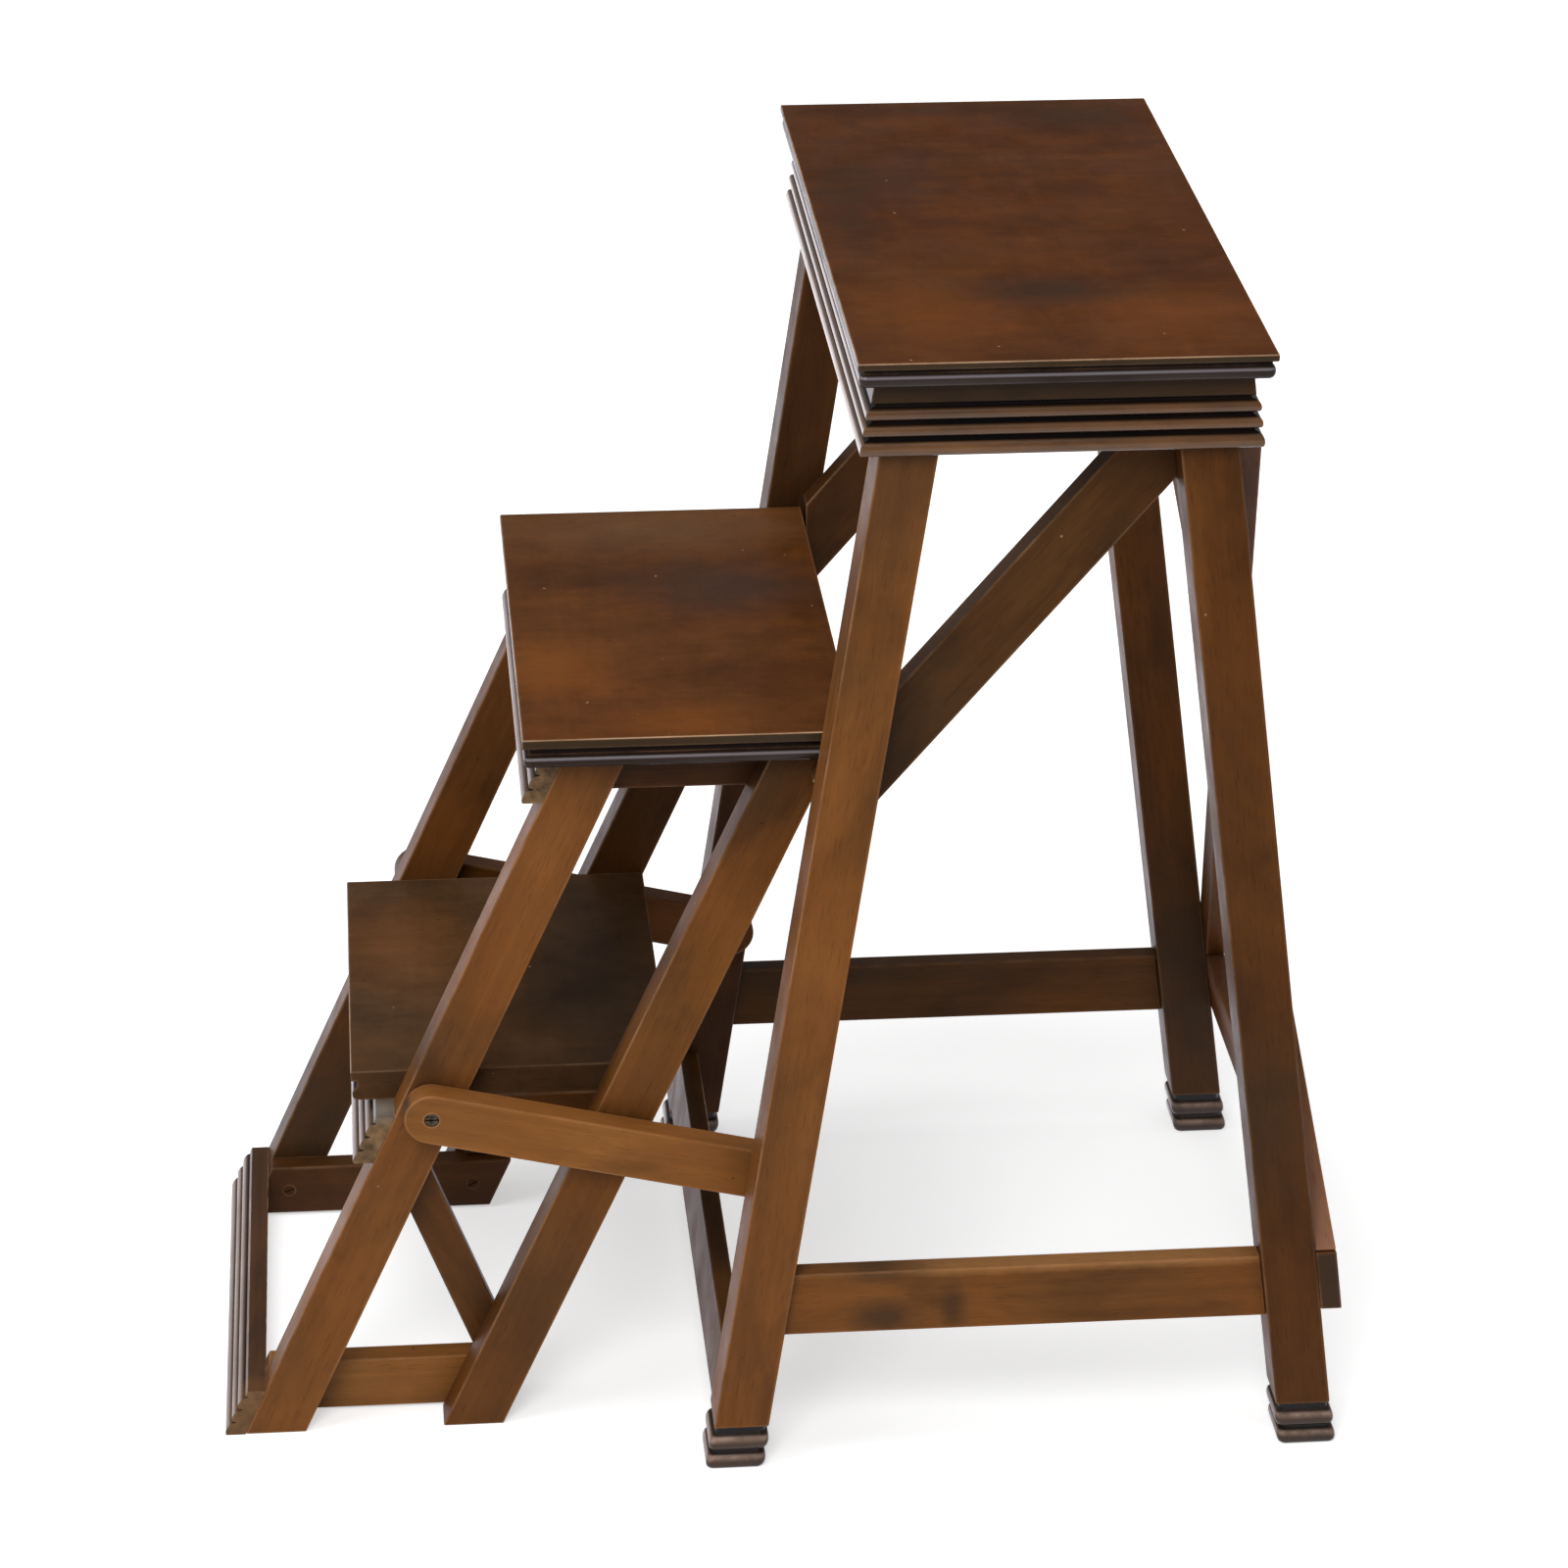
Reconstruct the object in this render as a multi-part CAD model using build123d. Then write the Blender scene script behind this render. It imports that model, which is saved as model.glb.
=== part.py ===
from build123d import *
from math import atan2, cos, degrees, hypot, radians, sin, tan
import os

# A folding library step stool: a splayed stool with a seat board and a reeded frieze, and a
# rigid two-tread step unit that swings in under the seat on a pair of flat arms.
# Millimetres. X runs from the steps to the back of the stool, Y along the treads, Z up.
# The driving sizes come first. Each piece then takes its size and place from them.

# Heights of the three treads above the floor
seat_height = 760.0
upper_tread_height = 500.0
lower_tread_height = 251.5

# Seat board and the frieze under it
seat_width = 243.0
seat_length = 485.0
seat_band = 4.5
seat_groove = 2.5
seat_bead = 9.0
seat_groove_depth = 3.5
seat_bead_inset = 1.0
seat_overhang_ends = 12.5
seat_overhang_sides = 8.6
frieze_thickness = 11.0
frieze_side_thickness = 14.0
frieze_flat = 14.0
frieze_groove = 4.2
frieze_small_reed = 5.6
frieze_big_reed = 8.6
reed_depth = 2.2
seat_block = 15.0
seat_block_length = 45.0

# Legs and feet
splay_deg = 8.0
leg_width = 35.0
leg_thickness = 34.0
foot_neck = 6.0
foot_upper_bead = 12.0
foot_waist = 3.0
foot_lower_bead = 9.0
foot_neck_inset = 1.0
foot_bead_proud = 1.6

# Stretchers and braces of the stool
side_stretcher_bottom = 94.0
side_stretcher_height = 44.0
side_stretcher_thickness = 14.0
side_stretcher_recess = 7.0
front_stretcher_bottom = 35.0
front_stretcher_height = 45.0
front_stretcher_thickness = 13.0
back_stretcher_bottom = 101.0
back_stretcher_height = 42.0
back_stretcher_thickness = 13.5
tenon_length = 20.0
tenon_thickness = 7.0
tenon_shoulder = 6.0
back_brace_width = 26.0
back_brace_thickness = 13.5
back_brace_gap = 0.5

# Runners that carry the back edge of the upper tread
runner_width = 40.0
runner_thickness = 18.0
runner_low_drop = 23.0
runner_high_drop = 36.0
runner_edge_margin = 1.5
notch_clearance = 0.4
notch_room = 3.0

# Swing arms and their pivots
arm_width = 34.0
arm_thickness = 17.0
leg_pivot_height = 188.0
arm_pivot_height = 239.0
spacer_thickness = 9.2
spacer_radius = 12.0
washer_thickness = 1.7
washer_radius = 9.0
arm_side_play = 0.3
running_clearance = 0.08
pivot_shank_radius = 3.0
pivot_head_radius = 4.4
pivot_head_height = 2.6
pivot_head_room = 0.4
pivot_head_lift = 0.3
pivot_depth = 18.0
slot_width = 1.2
slot_depth = 1.0

# Step unit
lean_deg = 23.85
step_reach = 498.5
stringer_width = 35.8
stringer_thickness = 24.0
stringer_spacing = 127.7
tread_band = 6.5
tread_groove = 5.0
tread_bead = 8.5
tread_groove_depth = 4.0
tread_bead_inset = 0.8
tread_nosing = 12.4
tread_back_overhang = 7.8
tread_side_gap = 7.0
riser_thickness = 14.5
riser_reed = 9.4
riser_cap = 4.3
cleat_height = 36.0
cleat_thickness = 16.0
floor_cleat_gap = 2.0
unit_brace_width = 24.0
unit_brace_thickness = 8.0
unit_brace_gap = 1.0

# Wood screws
screw_radius = 2.0
screw_head_radius = 4.0
screw_head_height = 2.4
screw_bite = 14.0
screw_pitch = 16.0
runner_low_screw_drop = 12.0
runner_low_screw_edge = 14.0
runner_high_screw_drop = 54.0
runner_high_screw_edge = 17.0
runner_screw_pitch = 12.0

# Rounding of the sharp edges, and the overrun that a cutting tool gets
arris = 1.0
overrun = 5.0

# Derived heights
seat_thickness = seat_band + seat_groove + seat_bead
seat_underside = seat_height - seat_thickness
frieze_height = frieze_flat + 3 * frieze_groove + 2 * frieze_small_reed + frieze_big_reed
frieze_bottom = seat_underside - frieze_height
foot_height = foot_neck + foot_upper_bead + foot_waist + foot_lower_bead
tread_thickness = tread_band + tread_groove + tread_bead
riser_height = 3 * riser_reed + riser_cap
upper_tread_underside = upper_tread_height - tread_thickness
lower_tread_underside = lower_tread_height - tread_thickness

# Derived places across the stool, measured from its middle
splay = tan(radians(splay_deg))
leg_outer_y = seat_length / 2 - seat_overhang_ends - frieze_thickness
leg_inner_y = leg_outer_y - leg_thickness
leg_middle_y = (leg_outer_y + leg_inner_y) / 2
leg_top_x = seat_width / 2 - seat_overhang_sides - frieze_side_thickness
arm_outer_y = leg_inner_y - spacer_thickness - arm_side_play
arm_inner_y = arm_outer_y - arm_thickness
stringer_outer_y = arm_inner_y - arm_side_play - washer_thickness
stringer_inner_y = stringer_outer_y - stringer_thickness
runner_inner_y = leg_inner_y - runner_thickness
upper_tread_half_length = leg_inner_y - tread_side_gap


def leg_x(z):
    """Distance of a leg's outer edge from the stool's middle plane at height z."""
    return leg_top_x + splay * (seat_underside - z)


# Step unit lines in the XZ plane: the front edge of each stringer at height z
lean = tan(radians(lean_deg))
stringer_run = stringer_width / cos(radians(lean_deg))


def front_x(z):
    """Front edge of the front stringers at height z."""
    return -step_reach + lean * z


def rear_x(z):
    """Front edge of the rear stringers at height z."""
    return front_x(z) + stringer_spacing


def unit_back_x(z):
    """Back edge of the rear stringers at height z."""
    return rear_x(z) + stringer_run


upper_tread_back = unit_back_x(upper_tread_underside) + tread_back_overhang
arm_pivot = (front_x(arm_pivot_height) + stringer_run / 2, arm_pivot_height)
leg_pivot = (leg_width / 2 - leg_x(leg_pivot_height), leg_pivot_height)

parts = {}


def plank(points, y_low, y_high):
    """A board with an outline in the XZ plane, from y_low to y_high."""
    outline = Plane.XZ * make_face(Polyline(*points, close=True))
    return Pos(0, y_high, 0) * extrude(outline, amount=y_high - y_low)


def sloped(edge, width, z_low, z_high):
    """The outline of a bar that follows the line edge(z), cut level at both ends."""
    return [
        (edge(z_low), z_low),
        (edge(z_low) + width, z_low),
        (edge(z_high) + width, z_high),
        (edge(z_high), z_high),
    ]


def eased(solid):
    """The solid with its sharp edges lightly rounded."""
    return fillet(solid.edges(), radius=arris)


def pair(name, make):
    """Two mirrored pieces, one at each end of the treads: side -1 is near, +1 is far."""
    parts[name + "_near"] = make(-1)
    parts[name + "_far"] = make(1)


def lane(side, y_inner, y_outer):
    """The Y range of a piece that lies between two distances from the middle."""
    return sorted((side * y_inner, side * y_outer))


def moulding(bands, depth, place):
    """A closed outline: a moulded face over a flat back. place(height, depth) gives a point."""
    edges = []
    height = 0.0
    last = place(0.0, 0.0)
    for size, kind in bands:
        root = depth - reed_depth
        low = place(height, root)
        high = place(height + size, root)
        if hypot(low[0] - last[0], low[1] - last[1]) > 0:
            edges.append(Line(last, low))
        if kind == "reed":
            edges.append(ThreePointArc(low, place(height + size / 2, depth), high))
        else:
            edges.append(Line(low, high))
        height += size
        last = high
    top = place(height, 0.0)
    edges.append(Line(last, top))
    edges.append(Line(top, place(0.0, 0.0)))
    return make_face(Wire(edges))


def disc(x, z, radius, y_low, y_high):
    """A round bar along Y."""
    outline = Plane.XZ * Pos(x, z) * Circle(radius)
    return Pos(0, y_high, 0) * extrude(outline, amount=y_high - y_low)


def drum(x, z, radius, side, y_from, y_to):
    """A round bar along Y, mirrored with the side it lies on."""
    y_low, y_high = lane(side, y_from, y_to)
    return disc(x, z, radius, y_low, y_high)


def wood_screw(length):
    """A countersunk screw with its head's face at Z = 0, pointing down."""
    head = Pos(0, 0, -screw_head_height / 2) * Cone(screw_radius, screw_head_radius, screw_head_height)
    shank = Pos(0, 0, -length / 2) * Cylinder(screw_radius, length)
    slot = Box(2 * screw_head_radius, slot_width, 2 * slot_depth)
    return head + shank, head + shank - slot


def place_screws(name, places, length, carriers):
    """Sets screws at the given planes, cuts their holes and groups them in one node."""
    hole, screw = wood_screw(length)
    parts[name] = Compound([(where * screw).solid() for where in places])
    for carrier in carriers:
        for where in places:
            parts[carrier] = parts[carrier] - where * hole


# Seat board: a thin top band, a groove and a rounded bead, all the way round
def seat_slab(inset, z_low, thickness, rounding):
    slab = Box(seat_width - 2 * inset, seat_length - 2 * inset, thickness)
    slab = Pos(0, 0, z_low + thickness / 2) * slab
    return fillet(slab.edges(), radius=rounding)


seat_bead_top = seat_underside + seat_bead
seat_core = Box(
    seat_width - 2 * seat_groove_depth,
    seat_length - 2 * seat_groove_depth,
    seat_thickness - 2 * arris,
)
parts["seat_board"] = (
    seat_slab(0, seat_bead_top + seat_groove, seat_band, arris)
    + Pos(0, 0, seat_underside + seat_thickness / 2) * seat_core
    + seat_slab(seat_bead_inset, seat_underside, seat_bead, seat_bead / 2 - arris / 2)
)

# Frieze: four moulded boards mitred round the tops of the legs
frieze_bands = [
    (frieze_big_reed, "reed"),
    (frieze_groove, "flat"),
    (frieze_small_reed, "reed"),
    (frieze_groove, "flat"),
    (frieze_small_reed, "reed"),
    (frieze_groove + frieze_flat, "flat"),
]


def mitre(side_x, side_y):
    """The plane through a corner of the frieze, facing the end of the stool."""
    corner = Vector(side_x * leg_x(frieze_bottom), side_y * leg_outer_y, frieze_bottom)
    along = Vector(-side_x * splay, 0, 1)
    across = Vector(side_x * frieze_side_thickness, side_y * frieze_thickness, 0)
    normal = along.cross(across)
    if normal.Y * side_y < 0:
        normal = -normal
    return Plane(origin=corner, x_dir=across, z_dir=normal)


def frieze_end(side):
    half = leg_x(frieze_bottom) + frieze_side_thickness + overrun
    outline = moulding(
        frieze_bands, frieze_thickness, lambda h, d: (side * (leg_outer_y + d), frieze_bottom + h)
    )
    board = Pos(-half, 0, 0) * extrude(Plane.YZ * outline, amount=2 * half)
    for side_x in (-1, 1):
        board = split(board, bisect_by=mitre(side_x, side), keep=Keep.TOP)
    return board


def frieze_side(side):
    half = leg_outer_y + frieze_thickness + overrun
    outline = moulding(
        frieze_bands,
        frieze_side_thickness,
        lambda h, d: (side * (leg_x(frieze_bottom + h) + d), frieze_bottom + h),
    )
    board = Pos(0, half, 0) * extrude(Plane.XZ * outline, amount=2 * half)
    for side_y in (-1, 1):
        board = split(board, bisect_by=mitre(side, side_y), keep=Keep.BOTTOM)
    return board


pair("frieze_end", frieze_end)
parts["frieze_front"] = frieze_side(-1)
parts["frieze_back"] = frieze_side(1)


def seat_blocks():
    """Glue blocks in the angle between the seat and the frieze ends."""
    blocks = []
    for side in (-1, 1):
        y_low, y_high = lane(side, leg_outer_y - seat_block, leg_outer_y)
        half = seat_block_length / 2
        corners = [(-half, 0), (half, 0), (half, -seat_block), (-half, -seat_block)]
        points = [(x, seat_underside + z) for x, z in corners]
        blocks.append(plank(points, y_low, y_high).solid())
    return Compound(blocks)


parts["seat_blocks"] = seat_blocks()

# Legs, with their feet below
def leg(side_x, side_y):
    y_low, y_high = lane(side_y, leg_inner_y, leg_outer_y)
    points = sloped(lambda z: -leg_x(z), leg_width, foot_height, seat_underside)
    if side_x > 0:
        points = [(-x, z) for x, z in points]
    return eased(plank(points, y_low, y_high))


def foot(side_x, side_y):
    """Two beads with a waist between them and a neck above, which follow the leg's splay."""

    def layer(z_low, z_high, proud):
        middle_z = (z_low + z_high) / 2
        middle_x = side_x * (leg_x(middle_z) - leg_width / 2)
        block = Box(leg_width + 2 * proud, leg_thickness + 2 * proud, z_high - z_low)
        if proud > 0:
            block = fillet(block.edges(), radius=(foot_lower_bead - arris) / 2)
        return Pos(middle_x, side_y * leg_middle_y, middle_z) * block

    waist_low = foot_lower_bead
    waist_high = waist_low + foot_waist
    neck_low = waist_high + foot_upper_bead
    return (
        layer(0.0, waist_low, foot_bead_proud)
        + layer(waist_low - arris, waist_high + arris, -foot_neck_inset)
        + layer(waist_high, neck_low, foot_bead_proud)
        + layer(neck_low - arris, foot_height, -foot_neck_inset)
    )


corners = {
    "near_front": (-1, -1),
    "near_back": (1, -1),
    "far_front": (-1, 1),
    "far_back": (1, 1),
}
for corner_name, (side_x, side_y) in corners.items():
    parts["leg_" + corner_name] = leg(side_x, side_y)
    parts["foot_" + corner_name] = foot(side_x, side_y)

# Side stretchers, tenoned into the legs
def side_stretcher(side):
    outer = leg_outer_y - side_stretcher_recess
    y_low, y_high = lane(side, outer - side_stretcher_thickness, outer)
    top = side_stretcher_bottom + side_stretcher_height

    def half(z):
        return leg_x(z) - leg_width

    z_low = side_stretcher_bottom
    rail = eased(
        plank([(-half(z_low), z_low), (half(z_low), z_low), (half(top), top), (-half(top), top)],
              y_low, y_high)
    )
    middle = (y_low + y_high) / 2
    tenon_low = side_stretcher_bottom + tenon_shoulder
    tenon_high = top - tenon_shoulder
    for side_x in (-1, 1):
        points = sloped(
            lambda z: -half(z) - tenon_length, tenon_length + 2 * arris, tenon_low, tenon_high
        )
        points = [(-side_x * x, z) for x, z in points]
        tenon = plank(points, middle - tenon_thickness / 2, middle + tenon_thickness / 2)
        leg_name = "leg_" + ("near" if side < 0 else "far") + ("_front" if side_x < 0 else "_back")
        parts[leg_name] = parts[leg_name] - tenon
        rail = rail + tenon
    return rail


pair("side_stretcher", side_stretcher)


def front_stretcher():
    """The low rail between the two front legs, flush with their outer faces."""
    top = front_stretcher_bottom + front_stretcher_height
    points = sloped(lambda z: -leg_x(z), front_stretcher_thickness, front_stretcher_bottom, top)
    rail = eased(plank(points, -leg_inner_y, leg_inner_y))
    tongue = sloped(
        lambda z: -leg_x(z) + (front_stretcher_thickness - tenon_thickness) / 2,
        tenon_thickness,
        front_stretcher_bottom + tenon_shoulder,
        top - tenon_shoulder,
    )
    for side, leg_name in ((-1, "leg_near_front"), (1, "leg_far_front")):
        y_low, y_high = lane(side, leg_inner_y - 2 * arris, leg_inner_y + tenon_length)
        tenon = plank(tongue, y_low, y_high)
        parts[leg_name] = parts[leg_name] - tenon
        rail = rail + tenon
    return rail


parts["front_stretcher"] = front_stretcher()

# Back stretcher and crossed braces, planted on the outer faces of the back legs
back_stretcher_top = back_stretcher_bottom + back_stretcher_height
parts["back_stretcher"] = eased(
    plank(
        sloped(leg_x, back_stretcher_thickness, back_stretcher_bottom, back_stretcher_top),
        -leg_outer_y,
        leg_outer_y,
    )
)

brace_high = frieze_bottom - back_brace_gap
brace_low = back_stretcher_top + back_brace_gap
brace_angle = atan2(brace_high - brace_low, 2 * leg_middle_y)
brace_run = back_brace_width / sin(brace_angle) / 2
brace_outline = Polyline(
    (-leg_middle_y - brace_run, brace_high),
    (-leg_middle_y + brace_run, brace_high),
    (leg_middle_y + brace_run, brace_low),
    (leg_middle_y - brace_run, brace_low),
    close=True,
)
brace_bar = extrude(Plane.YZ * make_face(brace_outline), amount=seat_width)
cross_bar = mirror(brace_bar, about=Plane.XZ)


def brace_layer(start, thickness):
    """A layer along the back of the legs, from start to start + thickness behind their faces."""
    outline = sloped(lambda z: leg_x(z) + start, thickness, brace_low, brace_high)
    return plank(outline, -seat_length / 2, seat_length / 2)


# The two braces are halved into each other where they cross: one is cut from the inside, the other
# from the outside, so that both lie flat on the legs
whole_layer = brace_layer(0, back_brace_thickness)
half_thickness = back_brace_thickness / 2
crossing = brace_bar & cross_bar
inner_notch = crossing & brace_layer(-half_thickness, back_brace_thickness)
outer_notch = crossing & brace_layer(half_thickness, back_brace_thickness)
parts["back_brace"] = eased((brace_bar & whole_layer).solid()) - inner_notch
parts["back_brace_cross"] = eased((cross_bar & whole_layer).solid()) - outer_notch

# Runners: from the front legs, just under the upper tread, up to the tops of the back legs
runner_low_z = upper_tread_underside - runner_low_drop
runner_high_z = seat_underside - runner_high_drop
runner_start = Vector(runner_edge_margin - leg_x(runner_low_z), runner_low_z)
runner_end = Vector(leg_x(runner_high_z) - runner_edge_margin, runner_high_z)


def runner_axis():
    """The middle line of a runner, with each end set in by its own half width."""
    angle = atan2(runner_end.Y - runner_start.Y, runner_end.X - runner_start.X)
    inset = runner_width / 2 * sin(angle)
    start = runner_start + Vector(inset, 0)
    end = runner_end - Vector(inset, 0)
    return start, end


runner_low, runner_high = runner_axis()
runner_direction = (runner_high - runner_low).normalized()
runner_normal = Vector(-runner_direction.Y, runner_direction.X)
runner_tilt = degrees(atan2(runner_direction.Y, runner_direction.X))


def runner(side):
    offset = runner_normal * (runner_width / 2)
    ends = [runner_low - offset, runner_high - offset, runner_high + offset, runner_low + offset]
    y_low, y_high = lane(side, runner_inner_y, leg_inner_y)
    bar = eased(plank([(p.X, p.Y) for p in ends], y_low, y_high))
    seat_z = upper_tread_underside - notch_clearance
    wall_x = upper_tread_back + notch_room
    far_x = wall_x - 3 * runner_width
    top_z = seat_z + 2 * runner_width
    notch = plank(
        [(far_x, seat_z), (wall_x, seat_z), (wall_x, top_z), (far_x, top_z)],
        y_low - overrun,
        y_high + overrun,
    )
    return bar - notch


pair("runner", runner)

# Swing arms: flat bars with round ends, bored for their pivots
arm_run = (leg_pivot[0] - arm_pivot[0], leg_pivot[1] - arm_pivot[1])
arm_length = hypot(*arm_run)
arm_tilt = degrees(atan2(arm_run[1], arm_run[0]))
arm_middle = ((leg_pivot[0] + arm_pivot[0]) / 2, (leg_pivot[1] + arm_pivot[1]) / 2)
bore_radius = pivot_shank_radius + running_clearance
recess_radius = pivot_head_radius + pivot_head_room
recess_depth = pivot_head_height + pivot_head_lift + pivot_head_room


def arm(side):
    y_low, y_high = lane(side, arm_inner_y, arm_outer_y)
    outline = Pos(*arm_middle) * Rot(0, 0, arm_tilt) * SlotCenterToCenter(arm_length, arm_width)
    bar = Pos(0, y_high, 0) * extrude(Plane.XZ * outline, amount=arm_thickness)
    bar = fillet(bar.edges(), radius=arris)
    for x, z in (arm_pivot, leg_pivot):
        bar = bar - drum(x, z, bore_radius, side, arm_inner_y - overrun, arm_outer_y + overrun)
    front_recess = drum(*arm_pivot, recess_radius, side, arm_outer_y - recess_depth, arm_outer_y + overrun)
    back_recess = drum(*leg_pivot, recess_radius, side, arm_inner_y - overrun, arm_inner_y + recess_depth)
    return bar - front_recess - back_recess


pair("arm", arm)


def headed_pin(x, z, side, y_head, y_tip):
    """A slotted pivot screw along Y: y_head is its head's face, y_tip its far end."""
    inward = 1 if y_tip > y_head else -1
    head_end = y_head + inward * pivot_head_height
    pin = drum(x, z, pivot_head_radius, side, y_head, head_end)
    pin = pin + drum(x, z, pivot_shank_radius, side, y_head, y_tip)
    y_low, y_high = lane(side, y_head - inward * slot_depth, y_head + inward * slot_depth)
    half = slot_width / 2
    reach = 2 * pivot_head_radius
    slot = plank([(x - reach, z - half), (x + reach, z - half), (x + reach, z + half),
                  (x - reach, z + half)], y_low, y_high)
    return pin - slot


def leg_pivot_screw(side):
    """Driven from inside through the arm and the spacer into the front leg."""
    head = arm_inner_y + pivot_head_room
    tip = leg_inner_y + pivot_depth
    leg_name = "leg_near_front" if side < 0 else "leg_far_front"
    parts[leg_name] = parts[leg_name] - drum(*leg_pivot, pivot_shank_radius, side, arm_outer_y, tip)
    return headed_pin(*leg_pivot, side, head, tip)


def leg_spacer(side):
    ring = drum(*leg_pivot, spacer_radius, side, leg_inner_y - spacer_thickness, leg_inner_y)
    return ring - drum(*leg_pivot, pivot_shank_radius, side, arm_outer_y, leg_inner_y + overrun)


pair("leg_pivot_screw", leg_pivot_screw)
pair("leg_spacer", leg_spacer)

# Step unit: four stringers, cut level at the floor and under the upper tread
def stringer(edge):
    def make(side):
        y_low, y_high = lane(side, stringer_inner_y, stringer_outer_y)
        return eased(plank(sloped(edge, stringer_run, 0.0, upper_tread_underside), y_low, y_high))
    return make


pair("front_stringer", stringer(front_x))
pair("rear_stringer", stringer(rear_x))


def arm_pivot_screw(side):
    """Driven from outside through the arm into the front stringer."""
    head = arm_outer_y - pivot_head_room
    tip = stringer_outer_y - pivot_depth
    name = "front_stringer_near" if side < 0 else "front_stringer_far"
    parts[name] = parts[name] - drum(*arm_pivot, pivot_shank_radius, side, tip, arm_inner_y)
    return headed_pin(*arm_pivot, side, head, tip)


def arm_washer(side):
    ring = drum(*arm_pivot, washer_radius, side, stringer_outer_y, stringer_outer_y + washer_thickness)
    return ring - drum(*arm_pivot, pivot_shank_radius, side, stringer_inner_y, arm_outer_y)


pair("arm_pivot_screw", arm_pivot_screw)
pair("arm_washer", arm_washer)

# Treads: a top band, a groove and a rounded bead on the front edge, and on free ends
def tread(top, back, half_length, free_ends):
    underside = top - tread_thickness
    nose = front_x(underside) - riser_thickness - tread_nosing

    def layer(inset, z_low, z_high, rounding):
        side_inset = inset if free_ends else 0.0
        x_low = nose + inset
        slab = plank(
            [(x_low, z_low), (back, z_low), (back, z_high), (x_low, z_high)],
            side_inset - half_length,
            half_length - side_inset,
        )
        if rounding == 0:
            return slab
        rounded = [edge for edge in slab.edges() if abs(edge.center().X - back) > arris]
        if not free_ends:
            rounded = [edge for edge in rounded if abs(edge.center().X - x_low) < arris]
            rounded = [edge for edge in rounded if abs(edge.center().Y) < half_length - arris]
        return fillet(rounded, radius=rounding)

    bead_top = underside + tread_bead
    return (
        layer(0.0, top - tread_band, top, arris)
        + layer(tread_groove_depth, underside + arris, top - arris, 0)
        + layer(tread_bead_inset, underside, bead_top, tread_bead / 2 - arris / 2)
    )


lower_tread_back = unit_back_x(lower_tread_underside) + tread_back_overhang
parts["upper_tread"] = tread(upper_tread_height, upper_tread_back, upper_tread_half_length, True)
parts["lower_tread"] = tread(lower_tread_height, lower_tread_back, stringer_inner_y, False)

# Reeded risers under the treads, and a third along the floor
riser_bands = [(riser_reed, "reed"), (riser_reed, "reed"), (riser_reed, "reed"), (riser_cap, "flat")]


def riser(z_low):
    outline = moulding(riser_bands, riser_thickness, lambda h, d: (front_x(z_low + h) - d, z_low + h))
    board = Plane.XZ * outline
    return Pos(0, stringer_outer_y, 0) * extrude(board, amount=2 * stringer_outer_y)


parts["upper_riser"] = riser(upper_tread_underside - riser_height)
parts["lower_riser"] = riser(lower_tread_underside - riser_height)
parts["foot_rail"] = riser(0.0)

# Cleats on the inner faces of the stringers, under both treads and along the floor
def cleat(z_low):
    def make(side):
        y_low, y_high = lane(side, stringer_inner_y - cleat_thickness, stringer_inner_y)
        z_high = z_low + cleat_height
        points = [
            (front_x(z_low), z_low),
            (unit_back_x(z_low), z_low),
            (unit_back_x(z_high), z_high),
            (front_x(z_high), z_high),
        ]
        return eased(plank(points, y_low, y_high))
    return make


upper_cleat_bottom = upper_tread_underside - cleat_height
lower_cleat_bottom = lower_tread_underside - cleat_height
floor_cleat_top = floor_cleat_gap + cleat_height
pair("upper_cleat", cleat(upper_cleat_bottom))
pair("lower_cleat", cleat(lower_cleat_bottom))
pair("floor_cleat", cleat(floor_cleat_gap))

# Braces from the front stringers down to the rear ones, between the two lower cleats
unit_brace_top = lower_cleat_bottom - unit_brace_gap
unit_brace_bottom = floor_cleat_top + unit_brace_gap
brace_top_x = front_x(unit_brace_top) + stringer_run / 2
brace_bottom_x = rear_x(unit_brace_bottom) + stringer_run / 2
unit_brace_angle = atan2(unit_brace_top - unit_brace_bottom, brace_bottom_x - brace_top_x)
unit_brace_run = unit_brace_width / sin(unit_brace_angle) / 2


def unit_brace(side):
    y_low, y_high = lane(side, stringer_inner_y - unit_brace_thickness, stringer_inner_y)
    points = [
        (brace_top_x - unit_brace_run, unit_brace_top),
        (brace_top_x + unit_brace_run, unit_brace_top),
        (brace_bottom_x + unit_brace_run, unit_brace_bottom),
        (brace_bottom_x - unit_brace_run, unit_brace_bottom),
    ]
    return eased(plank(points, y_low, y_high))


pair("unit_brace", unit_brace)

# Screws. Each plane's Z axis points out of the wood, towards the driver
def facing_in(x, z, side, y):
    """A screw seen from inside the stool, driven outwards through a face at distance y."""
    return Plane(origin=(x, side * y, z), x_dir=(1, 0, 0), z_dir=(0, -side, 0)).location


def facing_back(y, z, depth):
    """A screw driven square into the back legs through a piece of the given depth."""
    normal = Vector(cos(radians(splay_deg)), 0, sin(radians(splay_deg)))
    return Plane(origin=(leg_x(z) + depth, y, z), x_dir=(0, 1, 0), z_dir=normal).location


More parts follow.
